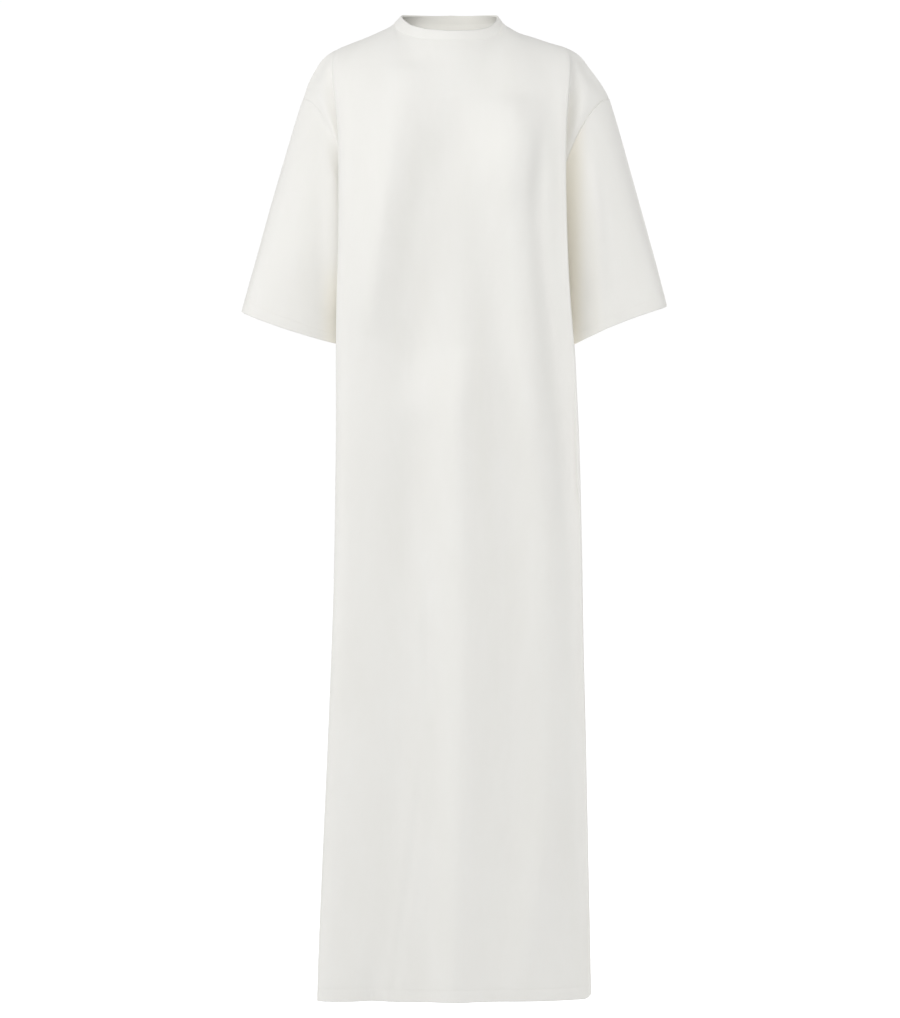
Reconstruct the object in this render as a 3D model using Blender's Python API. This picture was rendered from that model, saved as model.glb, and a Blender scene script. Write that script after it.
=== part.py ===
"""A floor-length t-shirt dress in heavy double-knit jersey, standing as it is worn, hollow.

Metres. X runs to the wearer's left, Y to the back and Z up. The origin is the middle of the
neck at the height where the shoulder seams meet the neckline.
"""

import bpy
import numpy as np

for thing in list(bpy.data.objects):
    bpy.data.objects.remove(thing, do_unlink=True)

# Whole garment
HEM_Z = -1.4025
UNDERARM_Z = -0.285
CLOTH = 0.0016
HEM_CLOTH = 0.0030
DRESS_HEM = 0.018
SLEEVE_HEM = 0.020
SEAM_GAP = 0.0004
BAND_SEAM_GAP = 0.0008

# Neckline seam, an oval round the neck, and the band that stands on it
NECK_X = -0.0068
NECK_HALF_WIDTH = 0.0778
NECK_FRONT = 0.066
NECK_BACK = 0.062
BAND_TOP_X = -0.0048
BAND_TOP_HALF_WIDTH = 0.0692
BAND_TOP_FRONT = 0.0625
BAND_TOP_BACK = 0.0595
BAND_CLOTH = 0.0028

# Armholes and sleeves. A side is 1 on the wearer's left and -1 on the right; a face is -1 in
# front and 1 behind. Each pair of numbers is (x, z).
ARMHOLE_TOP = {1: (0.2270, -0.1075), -1: (-0.2175, -0.1075)}
UNDERARM_X = 0.1420
ARMHOLE_DEPTH = {-1: 0.055, 1: 0.058}
ARMHOLE_INSET = {-1: 0.021, 1: 0.014}
SLEEVE_OUTER = {1: (0.3100, -0.4080), -1: (-0.3060, -0.4158)}
SLEEVE_INNER = {1: (0.1600, -0.4690), -1: (-0.1600, -0.4620)}
SLEEVE_HEM_BOW = {1: 0.006, -1: -0.0025}
SLEEVE_HEM_DEPTH = 0.052
SLEEVE_HEM_TILT = 0.005
SLEEVE_LENGTH = 0.25
SLEEVE_EASE = 0.007
SLEEVE_CROWN = 0.002
UNDERARM_LIFT = 0.004

# Grid of the dress panels: 21 columns from the right side seam to the left one, 16 rows
ROWS = 16
COLUMNS = 21
MIDDLE = 10
UNDERARM_ROW = 5.0
VALLEY_Y = 0.056


def table(names, *rows):
    """One array for each named column."""
    return dict(zip(names.split(), np.array(rows, float).T))


# Height of the neckline seam by the angle from its front (or from its back), towards the
# wearer's right (low_x) and left (high_x)
FRONT_NECKLINE = table(
    "angle low_x high_x",
    (0, -0.0315, -0.0315),
    (25, -0.0288, -0.0300),
    (50, -0.0205, -0.0240),
    (70, -0.0105, -0.0130),
    (90, 0.0015, 0.0030),
)
BACK_NECKLINE = table(
    "angle low_x high_x",
    (0, 0.0070, 0.0070),
    (45, 0.0062, 0.0066),
    (90, 0.0015, 0.0030),
)
# Height of the band's top edge, in the same way
FRONT_BAND_TOP = table(
    "angle low_x high_x",
    (0, -0.0165, -0.0165),
    (25, -0.0135, -0.0150),
    (50, -0.0060, -0.0095),
    (70, 0.0040, 0.0010),
    (90, 0.0140, 0.0130),
)
BACK_BAND_TOP = table(
    "angle low_x high_x",
    (0, 0.0228, 0.0228),
    (45, 0.0203, 0.0203),
    (70, 0.0175, 0.0172),
    (90, 0.0140, 0.0130),
)
# Shoulder seams, from the neckline over the shoulder to the top of the armhole
SHOULDER_LEFT_OF_WEARER = table(
    "x z",
    (0.0710, 0.0030),
    (0.0813, -0.0032),
    (0.0958, -0.0115),
    (0.1146, -0.0175),
    (0.1407, -0.0262),
    (0.1610, -0.0320),
    (0.1741, -0.0378),
    (0.1857, -0.0465),
    (0.1958, -0.0596),
    (0.2089, -0.0770),
    (0.2205, -0.0944),
    (0.2270, -0.1075),
)
SHOULDER_RIGHT_OF_WEARER = table(
    "x z",
    (0.0846, 0.0015),
    (0.1015, -0.0075),
    (0.1232, -0.0175),
    (0.1450, -0.0262),
    (0.1667, -0.0349),
    (0.1783, -0.0407),
    (0.1899, -0.0509),
    (0.2015, -0.0683),
    (0.2102, -0.0857),
    (0.2175, -0.1075),
)
# Where the columns start on the shoulder seam, from the neckline outwards
TOP_X = {
    1: (0.0710, 0.0980, 0.1280, 0.1580, 0.1680, 0.1800, 0.1950, 0.2130, 0.2270),
    -1: (0.0846, 0.1090, 0.1350, 0.1600, 0.1690, 0.1790, 0.1910, 0.2060, 0.2175),
}
# The armhole's angle from its top at each row
ARMHOLE_ANGLE = table(
    "row angle", (0, 0), (0.333, 6), (1, 20), (2, 46), (3, 80), (4, 124), (5, 180)
)

# Rows between the top edge and the underarm. A drop is the share of the way down. The fold
# runs down beside the arm, the valley lies behind it and the puff is the cloth beyond, up to
# the armhole seam. _l is the wearer's left, _r the wearer's right.
FRONT_UPPER = table(
    "drop_c drop_s drop_f y_c y_n y_s fold_l fold_r fold_y valley_x valley_y puff_x puff_y",
    (0.03, 0.005, 0.01, -0.071, -0.014, -0.013, 0.163, 0.166, -0.013, 0.176, -0.012, 0.194, -0.011),
    (0.10, 0.045, 0.06, -0.083, -0.044, -0.038, 0.170, 0.176, -0.037, 0.173, -0.026, 0.193, -0.029),
    (0.26, 0.180, 0.22, -0.102, -0.082, -0.070, 0.1695, 0.1745, -0.067, 0.163, -0.036, 0.188, -0.047),
    (0.48, 0.410, 0.46, -0.115, -0.106, -0.094, 0.1635, 0.1665, -0.089, 0.151, -0.046, 0.168, -0.055),
    (0.74, 0.700, 0.74, -0.121, -0.118, -0.109, 0.1620, 0.1650, -0.099, 0.142, -0.056, 0.142, -0.050),
)
BACK_UPPER = table(
    "drop_c drop_s drop_f y_c y_n y_s fold_l fold_r fold_y valley_x valley_y puff_x puff_y",
    (0.03, 0.005, 0.01, 0.067, 0.014, 0.013, 0.162, 0.164, 0.013, 0.176, 0.012, 0.194, 0.011),
    (0.08, 0.045, 0.06, 0.079, 0.043, 0.037, 0.168, 0.170, 0.036, 0.175, 0.026, 0.193, 0.029),
    (0.22, 0.180, 0.22, 0.095, 0.075, 0.067, 0.1710, 0.1730, 0.063, 0.170, 0.040, 0.188, 0.049),
    (0.45, 0.410, 0.46, 0.104, 0.095, 0.088, 0.1680, 0.1690, 0.081, 0.160, 0.048, 0.172, 0.057),
    (0.73, 0.700, 0.74, 0.106, 0.104, 0.099, 0.1650, 0.1660, 0.088, 0.145, 0.056, 0.145, 0.052),
)
# Rows from the underarm to the hem
FRONT_LOWER = table(
    "z y_c fold_l foldy_l valley_l side_l fold_r foldy_r valley_r side_r",
    (UNDERARM_Z, -0.122, 0.1635, -0.101, 0.142, 0.142, 0.1645, -0.101, 0.142, 0.142),
    (-0.335, -0.121, 0.1650, -0.101, 0.143, 0.132, 0.1655, -0.101, 0.143, 0.132),
    (-0.400, -0.119, 0.1680, -0.100, 0.148, 0.132, 0.1685, -0.100, 0.148, 0.132),
    (-0.480, -0.117, 0.1750, -0.098, 0.162, 0.144, 0.1700, -0.098, 0.159, 0.144),
    (-0.600, -0.114, 0.1800, -0.094, 0.181, 0.176, 0.1680, -0.098, 0.166, 0.163),
    (-0.780, -0.111, 0.1840, -0.088, 0.188, 0.188, 0.1710, -0.098, 0.171, 0.169),
    (-0.980, -0.109, 0.1860, -0.084, 0.191, 0.1925, 0.1785, -0.098, 0.177, 0.175),
    (-1.190, -0.108, 0.1880, -0.082, 0.195, 0.1970, 0.1870, -0.097, 0.185, 0.182),
    (-1.330, -0.107, 0.1900, -0.080, 0.198, 0.2000, 0.1940, -0.096, 0.190, 0.188),
    (HEM_Z, -0.106, 0.1910, -0.080, 0.199, 0.2010, 0.1960, -0.096, 0.192, 0.190),
)
BACK_LOWER = table(
    "z y_c fold_l foldy_l valley_l side_l fold_r foldy_r valley_r side_r",
    (UNDERARM_Z, 0.104, 0.1660, 0.088, 0.144, 0.142, 0.1660, 0.088, 0.144, 0.142),
    (-0.335, 0.103, 0.1680, 0.088, 0.145, 0.132, 0.1670, 0.088, 0.145, 0.132),
    (-0.400, 0.101, 0.1750, 0.088, 0.152, 0.132, 0.1690, 0.088, 0.150, 0.132),
    (-0.480, 0.100, 0.1840, 0.086, 0.167, 0.144, 0.1745, 0.086, 0.161, 0.144),
    (-0.600, 0.104, 0.1850, 0.084, 0.182, 0.176, 0.1730, 0.085, 0.168, 0.163),
    (-0.780, 0.108, 0.1870, 0.082, 0.188, 0.188, 0.1710, 0.084, 0.171, 0.169),
    (-0.980, 0.109, 0.1900, 0.080, 0.192, 0.1925, 0.1760, 0.082, 0.176, 0.175),
    (-1.190, 0.108, 0.1940, 0.079, 0.196, 0.1970, 0.1840, 0.080, 0.183, 0.182),
    (-1.330, 0.107, 0.1970, 0.078, 0.199, 0.2000, 0.1890, 0.080, 0.188, 0.188),
    (HEM_Z, 0.106, 0.1980, 0.078, 0.200, 0.2010, 0.1910, 0.080, 0.190, 0.190),
)
# Across a panel, from the middle to the fold: share of the fold's x, share of its set-back
ACROSS = table(
    "x back", (0.0, 0.0), (0.30, 0.015), (0.57, 0.09), (0.80, 0.30), (0.93, 0.62)
)

# Folds: height, place, half width and depth along each. A depth below 0 is a hollow.
FRONT_FOLDS = (
    table(
        "z x width depth",
        (-0.460, 0.014, 0.024, 0.000),
        (-0.560, 0.011, 0.029, 0.0076),
        (-0.700, 0.013, 0.029, 0.0058),
        (-0.900, 0.017, 0.032, 0.0065),
        (-1.100, 0.013, 0.033, 0.0058),
        (-1.280, 0.006, 0.031, 0.0050),
        (-1.403, 0.003, 0.029, 0.0046),
    ),
    table(
        "z x width depth",
        (-0.330, 0.048, 0.019, 0.000),
        (-0.460, 0.055, 0.022, -0.0009),
        (-0.600, 0.063, 0.027, -0.0035),
        (-0.780, 0.073, 0.026, -0.0051),
        (-0.950, 0.077, 0.023, -0.0028),
        (-1.150, 0.074, 0.020, -0.0018),
        (-1.340, 0.068, 0.019, -0.0006),
    ),
    table(
        "z x width depth",
        (-0.450, 0.099, 0.021, 0.000),
        (-0.600, 0.117, 0.024, 0.0046),
        (-0.800, 0.132, 0.025, 0.0033),
        (-1.000, 0.134, 0.024, 0.0020),
        (-1.200, 0.124, 0.028, 0.0042),
        (-1.330, 0.106, 0.025, 0.0023),
        (-1.403, 0.092, 0.021, 0.000),
    ),
    table(
        "z x width depth",
        (-0.500, -0.059, 0.025, 0.000),
        (-0.700, -0.062, 0.029, -0.0046),
        (-0.900, -0.069, 0.027, -0.0012),
        (-1.100, -0.080, 0.023, -0.0018),
        (-1.250, -0.095, 0.021, -0.0008),
        (-1.403, -0.109, 0.020, -0.0018),
    ),
    table(
        "z x width depth",
        (-0.050, -0.057, 0.024, 0.000),
        (-0.080, -0.061, 0.026, 0.0024),
        (-0.160, -0.073, 0.031, 0.0036),
        (-0.260, -0.084, 0.029, 0.0072),
        (-0.360, -0.098, 0.026, 0.0056),
        (-0.460, -0.108, 0.020, 0.000),
    ),
    table(
        "z x width depth",
        (-0.100, 0.007, 0.028, 0.000),
        (-0.200, -0.008, 0.033, -0.0062),
        (-0.300, -0.031, 0.031, -0.0026),
        (-0.400, -0.050, 0.028, -0.0052),
        (-0.480, -0.055, 0.030, -0.0095),
        (-0.560, -0.056, 0.025, 0.000),
    ),
    table(
        "z x width depth",
        (-0.250, 0.004, 0.020, 0.000),
        (-0.360, 0.009, 0.020, 0.0015),
        (-0.460, 0.015, 0.021, 0.0036),
        (-0.560, 0.023, 0.021, 0.000),
    ),
    table(
        "z x width depth",
        (-0.100, 0.088, 0.032, 0.000),
        (-0.200, 0.088, 0.035, 0.0092),
        (-0.300, 0.088, 0.031, 0.0054),
        (-0.400, 0.095, 0.026, 0.0044),
        (-0.550, 0.107, 0.024, -0.0014),
        (-0.620, 0.112, 0.024, 0.000),
    ),
    table(
        "z x width depth",
        (-0.150, 0.120, 0.014, 0.000),
        (-0.250, 0.120, 0.015, -0.0010),
        (-0.380, 0.128, 0.017, -0.0012),
        (-0.500, 0.143, 0.018, -0.0026),
        (-0.620, 0.157, 0.018, 0.000),
    ),
)
BACK_FOLDS = (
    table(
        "z x width depth",
        (-0.120, 0.070, 0.020, 0.000),
        (-0.260, 0.090, 0.022, -0.005),
        (-0.460, 0.083, 0.022, -0.006),
        (-0.700, 0.070, 0.020, 0.000),
    ),
    table(
        "z x width depth",
        (-0.150, -0.085, 0.020, 0.000),
        (-0.300, -0.098, 0.022, -0.006),
        (-0.520, -0.088, 0.021, -0.005),
        (-0.740, -0.080, 0.020, 0.000),
    ),
    table(
        "z x width depth",
        (-0.400, 0.010, 0.020, 0.000),
        (-0.640, 0.018, 0.022, 0.006),
        (-1.000, 0.012, 0.025, 0.007),
        (-1.401, 0.022, 0.028, 0.008),
    ),
    table(
        "z x width depth",
        (-0.560, -0.050, 0.018, 0.000),
        (-0.820, -0.056, 0.020, -0.006),
        (-1.150, -0.048, 0.022, -0.008),
        (-1.401, -0.056, 0.024, -0.008),
    ),
    table(
        "z x width depth",
        (-0.620, 0.080, 0.018, 0.000),
        (-0.880, 0.084, 0.020, -0.005),
        (-1.180, 0.092, 0.023, -0.008),
        (-1.401, 0.088, 0.025, -0.008),
    ),
    table(
        "z x width depth",
        (-0.700, -0.118, 0.020, 0.000),
        (-1.000, -0.116, 0.022, 0.005),
        (-1.401, -0.124, 0.026, 0.007),
    ),
)
SLEEVE_FRONT_FOLDS = {
    1: (
        table(
            "z x width depth",
            (-0.095, 0.200, 0.010, 0.000),
            (-0.140, 0.213, 0.011, -0.003),
            (-0.220, 0.232, 0.012, 0.000),
        ),
        table(
            "z x width depth",
            (-0.240, 0.190, 0.010, 0.000),
            (-0.330, 0.200, 0.011, -0.003),
            (-0.460, 0.205, 0.012, -0.004),
        ),
    ),
    -1: (
        table(
            "z x width depth",
            (-0.110, -0.199, 0.009, 0.000),
            (-0.190, -0.198, 0.011, -0.005),
            (-0.330, -0.199, 0.012, -0.005),
            (-0.430, -0.205, 0.012, -0.002),
        ),
    ),
}
SLEEVE_BACK_FOLDS = {
    1: (
        table(
            "z x width depth",
            (-0.170, 0.195, 0.010, 0.000),
            (-0.280, 0.205, 0.012, -0.005),
            (-0.440, 0.215, 0.013, -0.005),
        ),
    ),
    -1: (
        table(
            "z x width depth",
            (-0.150, -0.200, 0.010, 0.000),
            (-0.270, -0.203, 0.012, -0.005),
            (-0.450, -0.220, 0.013, -0.004),
        ),
    ),
}

# Where the solid's grid is sampled
NECK_STEPS = 6
COLUMN_AT = np.concatenate(
    [
        np.linspace(0, 2, NECK_STEPS + 1),
        (2.5, 3.0, 3.5, 4.0, 4.4, 4.7, 5.0, 5.3, 5.6, 6.0, 6.5, 7.0, 7.5, 8.0, 8.5, 9.0),
    ]
)
ARMHOLE_AT = np.array((0, 0.2, 0.45, 0.8, 1.2, 1.6, 2.0, 2.4, 2.8, 3.25, 3.7, 4.15, 4.6, 5))
SKIRT_AT = np.linspace(5.35, 12.60, 21)
SLEEVE_AT = np.array((0, 0.05, 0.12, 0.22, 0.34, 0.48, 0.62, 0.76, 0.88))


def smooth(t):
    """0 to 1 with level ends."""
    t = np.clip(t, 0, 1)
    return t * t * (3 - 2 * t)


def curve(x, xs, ys):
    """A smooth line through the points of a table, without overshoot."""
    xs, ys = np.asarray(xs, float), np.asarray(ys, float)
    if xs[0] > xs[-1]:
        xs, ys = xs[::-1], ys[::-1]
    run = np.diff(xs)
    rise = np.diff(ys) / run
    slope = np.zeros(len(xs))
    for i in range(1, len(xs) - 1):
        if rise[i - 1] * rise[i] > 0:
            a = 2 * run[i] + run[i - 1]
            b = run[i] + 2 * run[i - 1]
            slope[i] = (a + b) / (a / rise[i - 1] + b / rise[i])
    slope[0], slope[-1] = rise[0], rise[-1]
    x = np.clip(x, xs[0], xs[-1])
    k = np.clip(np.searchsorted(xs, x, side="right") - 1, 0, len(xs) - 2)
    t = (x - xs[k]) / run[k]
    return (
        ys[k] * (1 + 2 * t) * (1 - t) ** 2
        + ys[k + 1] * t**2 * (3 - 2 * t)
        + run[k] * (slope[k] * t * (1 - t) ** 2 - slope[k + 1] * t**2 * (1 - t))
    )


def weights(count, at):
    """How much each of count control points pulls a cubic spline at each place."""
    last = count - 3
    knots = np.concatenate([np.zeros(3), np.arange(last + 1), np.full(3, last)])
    at = np.clip(np.asarray(at, float), 0, last - 1e-9)
    pull = ((knots[None, :-1] <= at[:, None]) & (at[:, None] < knots[None, 1:])).astype(float)
    for degree in (1, 2, 3):
        grown = np.zeros((len(at), pull.shape[1] - 1))
        for i in range(grown.shape[1]):
            before = knots[i + degree] - knots[i]
            after = knots[i + degree + 1] - knots[i + 1]
            if before > 0:
                grown[:, i] += (at - knots[i]) / before * pull[:, i]
            if after > 0:
                grown[:, i] += (knots[i + degree + 1] - at) / after * pull[:, i + 1]
        pull = grown
    return pull


def row_of(count):
    """The place along a spline that each of its control points stands at."""
    last = count - 3
    knots = np.concatenate([np.zeros(3), np.arange(last + 1), np.full(3, last)])
    return np.array([knots[i + 1 : i + 4].mean() for i in range(count)])


def oval(angle, face, x, half_width, depth, heights, back_heights):
    """A point of an oval round the neck. The angle runs from its front or its back."""
    height = heights if face < 0 else back_heights
    turn = np.radians(np.abs(angle))
    low_x = curve(np.abs(angle), height["angle"], height["low_x"])
    high_x = curve(np.abs(angle), height["angle"], height["high_x"])
    z = np.where(np.asarray(angle) < 0, low_x, high_x)
    return np.stack(
        [x + half_width * np.sin(np.radians(angle)), face * depth * np.cos(turn), z], -1
    )


def neckline(angle, face):
    depth = NECK_FRONT if face < 0 else NECK_BACK
    return oval(angle, face, NECK_X, NECK_HALF_WIDTH, depth, FRONT_NECKLINE, BACK_NECKLINE)


def band_top(angle, face):
    depth = BAND_TOP_FRONT if face < 0 else BAND_TOP_BACK
    return oval(
        angle, face, BAND_TOP_X, BAND_TOP_HALF_WIDTH, depth, FRONT_BAND_TOP, BACK_BAND_TOP
    )


def armhole(row, side, face):
    """The armhole seam's front or back half, from its top (row 0) to the underarm."""
    turn = np.radians(curve(row, ARMHOLE_ANGLE["row"], ARMHOLE_ANGLE["angle"]))
    top_x, top_z = ARMHOLE_TOP[side]
    under_x = side * UNDERARM_X
    x = (top_x + under_x) / 2 + (top_x - under_x) / 2 * np.cos(turn)
    hollow = 1.25 * np.sin(turn) * np.sqrt(0.5 + 0.5 * np.cos(turn))
    x = x - side * ARMHOLE_INSET[face] * hollow
    z = (top_z + UNDERARM_Z) / 2 + (top_z - UNDERARM_Z) / 2 * np.cos(turn)
    return np.stack([x, face * ARMHOLE_DEPTH[face] * np.sin(turn), z], -1)


def top_edge(column, face):
    """The panel's top edge: neckline in the middle and a shoulder seam on each side."""
    out = []
    for c in column:
        side = 1 if c > 0 else -1
        if abs(c) <= 2:
            out.append(neckline(c * 45.0, face))
            continue
        stops = row_of(COLUMNS)[MIDDLE + 2 :] - 9
        x = curve(abs(c), stops, TOP_X[side])
        seam = SHOULDER_LEFT_OF_WEARER if side > 0 else SHOULDER_RIGHT_OF_WEARER
        out.append(np.array((side * x, 0.0, float(curve(x, seam["x"], seam["z"])))))
    return np.array(out)


def cage(face):
    """The panel's control points, row by row from the top edge to the hem."""
    upper = FRONT_UPPER if face < 0 else BACK_UPPER
    lower = FRONT_LOWER if face < 0 else BACK_LOWER
    rows = row_of(ROWS)
    points = np.zeros((ROWS, COLUMNS, 3))
    points[0] = top_edge(row_of(COLUMNS) - 9, face)
    for r in range(1, ROWS):
        for side, key in ((1, "l"), (-1, "r")):
            above = r < 6
            k = r - 1 if above else r - 6
            if above:
                spread = smooth(rows[r] / 5) ** 0.7
                fold = (side * upper["fold_" + key][k], upper["fold_y"][k])
                valley = (side * upper["valley_x"][k], upper["valley_y"][k])
                puff = (side * upper["puff_x"][k], upper["puff_y"][k])
                edge = armhole(rows[r : r + 1], side, face)[0]
                y_c = upper["y_c"][k]
            else:
                spread = 1.0
                fold = (side * lower["fold_" + key][k], lower["foldy_" + key][k])
                valley = (side * lower["valley_" + key][k], face * VALLEY_Y)
                edge = np.array((side * lower["side_" + key][k], 0.0, lower["z"][k]))
                puff = ((valley[0] + edge[0]) / 2, face * VALLEY_Y / 2)
                y_c = lower["y_c"][k]
            line = np.zeros((11, 3))
            for c in range(5):
                top = points[0, MIDDLE + side * c]
                line[c, 0] = top[0] * (1 - spread) + fold[0] * ACROSS["x"][c] * spread
                line[c, 1] = y_c + (fold[1] - y_c) * ACROSS["back"][c]
            if above:
                y_n, y_s = upper["y_n"][k], upper["y_s"][k]
                line[1:5, 1] = y_c * 0.72 + y_n * 0.28, y_n, y_n * 0.4 + y_s * 0.6, y_s
            line[5, :2] = fold
            line[6, :2] = np.array(fold) * (0.85, 0.68) + np.array(valley) * (0.15, 0.32)
            line[7, :2] = valley
            line[8, :2] = puff
            line[9, :2] = (np.array(puff) + edge[:2]) / 2
            line[10] = edge
            if above:
                share = np.array(
                    [upper["drop_c"][k]] * 2
                    + [(upper["drop_c"][k] + upper["drop_s"][k]) / 2]
                    + [upper["drop_s"][k]] * 2
                    + [upper["drop_f"][k]] * 6
                )
                for c in range(10):
                    top = points[0, MIDDLE + side * c, 2]
                    line[c, 2] = top + (UNDERARM_Z - top) * share[c]
                line[8, 2] = (line[7, 2] + edge[2]) / 2
                line[9, 2] = (line[8, 2] + edge[2]) / 2
            else:
                line[:, 2] = lower["z"][k]
            for c in range(11):
                points[r, MIDDLE + side * c] = line[c]
    return points


def side_seam(row, side):
    """The side seam's points from the underarm down, the same for front and back."""
    key = "l" if side > 0 else "r"
    points = np.zeros((ROWS, 3))
    points[:6] = (side * UNDERARM_X, 0, UNDERARM_Z)
    points[6:, 0] = side * FRONT_LOWER["side_" + key]
    points[6:, 2] = FRONT_LOWER["z"]
    start = weights(ROWS, [UNDERARM_ROW]) @ points
    fade = 1 - smooth((np.asarray(row) - UNDERARM_ROW) / 1.5)
    return weights(ROWS, row) @ points + (points[0] - start) * fade[:, None]


def fold_push(x, z, folds):
    """How far the folds move the cloth out at each place."""
    push = np.zeros_like(x)
    for f in folds:
        path = curve(z, f["z"], f["x"])
        width = curve(z, f["z"], f["width"])
        depth = curve(z, f["z"], f["depth"])
        depth = depth * smooth((f["z"][0] - z) / 0.03)
        push += depth * np.exp(-(((x - path) / width) ** 2))
    return push


def normals_of(grid, wrap=False):
    """Unit normals of a grid of points, by the differences along its rows and columns."""
    if wrap:
        across = np.roll(grid, -1, 1) - np.roll(grid, 1, 1)
    else:
        across = np.gradient(grid, axis=1)
    down = np.gradient(grid, axis=0)
    n = np.cross(across, down)
    return n / np.linalg.norm(n, axis=-1, keepdims=True)


def panel(face, rows, columns):
    """The outer side of the front (face -1) or the back (face 1), as a grid."""
    control = cage(face)
    grid = np.einsum(
        "ar,bc,rcx->abx", weights(ROWS, rows), weights(COLUMNS, columns + 9), control
    )
    top = top_edge(columns, face) - grid[0]
    grid += top[None] * (1 - smooth(rows / 1.6))[:, None, None]
    for side in (1, -1):
        edge = np.where(
            (rows < UNDERARM_ROW)[:, None],
            armhole(np.minimum(rows, UNDERARM_ROW), side, face),
            side_seam(np.maximum(rows, UNDERARM_ROW), side),
        )
        off = edge - grid[:, -1 if side > 0 else 0]
        near = 1 - smooth((9 - side * columns) / 2.2)
        grid += off[:, None] * near[None, :, None]
    n = normals_of(grid) * face
    push = fold_push(grid[..., 0], grid[..., 2], FRONT_FOLDS if face < 0 else BACK_FOLDS)
    push *= smooth(face * n[..., 1] / 0.6)
    push *= smooth((9 - np.abs(columns)) / 1.5)[None] * smooth(rows / 0.8)[:, None]
    return grid + n * push[..., None]


def sleeve(side, along, rows):
    """The sleeve's outer side as rings, from the armhole seam to the sleeve hem."""
    front = armhole(rows, side, -1)
    back = armhole(rows, side, 1)[1:-1][::-1]
    start = np.concatenate([front, back])
    turn = np.radians(curve(rows, ARMHOLE_ANGLE["row"], ARMHOLE_ANGLE["angle"]))
    turn = np.concatenate([turn, 2 * np.pi - turn[1:-1][::-1]])
    outer, inner = np.array(SLEEVE_OUTER[side]), np.array(SLEEVE_INNER[side])
    across = np.sign(np.cos(turn)) * np.abs(np.cos(turn)) ** 0.9
    deep = -np.sign(np.sin(turn)) * np.abs(np.sin(turn)) ** 0.85
    middle = (outer + inner) / 2
    height = middle[1] + (outer[1] - inner[1]) / 2 * across
    height += SLEEVE_HEM_BOW[side] * (1 - across**2) + SLEEVE_HEM_TILT * deep
    end = np.stack(
        [middle[0] + (outer[0] - inner[0]) / 2 * across, deep * SLEEVE_HEM_DEPTH, height], -1
    )
    grid = start[None] + (end - start)[None] * along[:, None, None]
    lift = np.clip(-np.cos(turn), 0, 1)[None] * np.sin(np.pi * along)[:, None]
    grid[..., 0] += side * UNDERARM_LIFT * lift
    crown = np.clip(np.cos(turn), 0, 1)[None] * np.sin(np.pi * along)[:, None] ** 0.7
    grid[..., 0] += side * SLEEVE_CROWN * crown
    centre = grid.mean(axis=1, keepdims=True)
    out = grid - centre
    out /= np.linalg.norm(out, axis=-1, keepdims=True)
    ease = SLEEVE_EASE * np.sin(np.pi * np.clip(along / 0.8, 0, 1)) ** 1.2
    grid = grid + out * ease[:, None, None] * (np.abs(np.sin(turn)) ** 1.5)[None, :, None]
    n = normals_of(grid, wrap=True) * side
    push = np.where(
        n[..., 1] < 0,
        fold_push(grid[..., 0], grid[..., 2], SLEEVE_FRONT_FOLDS[side]),
        fold_push(grid[..., 0], grid[..., 2], SLEEVE_BACK_FOLDS[side]),
    )
    push *= smooth(np.abs(n[..., 1]) / 0.6) * smooth(along / 0.15)[:, None]
    return grid + n * push[..., None]


def band(rows):
    """The neckband's outer side as rings, from the neckline seam to its top edge."""
    angles = np.linspace(-90, 90, 2 * NECK_STEPS + 1)
    low = np.concatenate([neckline(angles, -1), neckline(angles, 1)[1:-1][::-1]])
    high = np.concatenate([band_top(angles, -1), band_top(angles, 1)[1:-1][::-1]])
    return low[None] + (high - low)[None] * np.asarray(rows)[:, None, None]


# The turned hems are doubled, so the wall thickens in one short step at their upper edge
last_row = ROWS - 3.0
near_hem = np.linspace(last_row - 0.5, last_row, 60)
hem_row = np.interp(HEM_Z + DRESS_HEM, side_seam(near_hem, 1)[::-1, 2], near_hem[::-1])
rows = np.concatenate([ARMHOLE_AT, SKIRT_AT, (hem_row - 0.02, hem_row, last_row)])
columns = np.concatenate([-COLUMN_AT[:0:-1], COLUMN_AT])
front = panel(-1, rows, columns)
back = panel(1, rows, columns)
cuff_row = 1 - SLEEVE_HEM / SLEEVE_LENGTH
sleeve_rows = np.concatenate([SLEEVE_AT, (cuff_row - 0.01, cuff_row, 1.0)])
sleeves = {side: sleeve(side, sleeve_rows, ARMHOLE_AT) for side in (1, -1)}
neckband = band((0, 0.35, 0.7, 1.0))

# Directions of the cloth's thickness, shared wherever two pieces meet
lean = {
    "front": -normals_of(front),
    "back": normals_of(back),
    "sleeve_left": normals_of(sleeves[1], wrap=True),
    "sleeve_right": -normals_of(sleeves[-1], wrap=True),
    "neckband": normals_of(neckband, wrap=True),
}
grids = {
    "front": front,
    "back": back,
    "sleeve_left": sleeves[1],
    "sleeve_right": sleeves[-1],
    "neckband": neckband,
}
meeting = {}
for name, grid in grids.items():
    for r in range(grid.shape[0]):
        for c in range(grid.shape[1]):
            edge_row = r == 0
            edge_column = name in ("front", "back") and c in (0, grid.shape[1] - 1)
            if edge_row or edge_column:
                key = tuple(np.round(grid[r, c], 6) + 0.0)
                meeting.setdefault(key, []).append((name, r, c))
for places in meeting.values():
    total = np.zeros(3)
    for kind in (("front", "back"), ("sleeve_left", "sleeve_right"), ("neckband",)):
        there = sum(lean[name][r, c] for name, r, c in places if name in kind)
        if np.any(there):
            total += there / np.linalg.norm(there)
    for name, r, c in places:
        lean[name][r, c] = total / np.linalg.norm(total)


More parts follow.
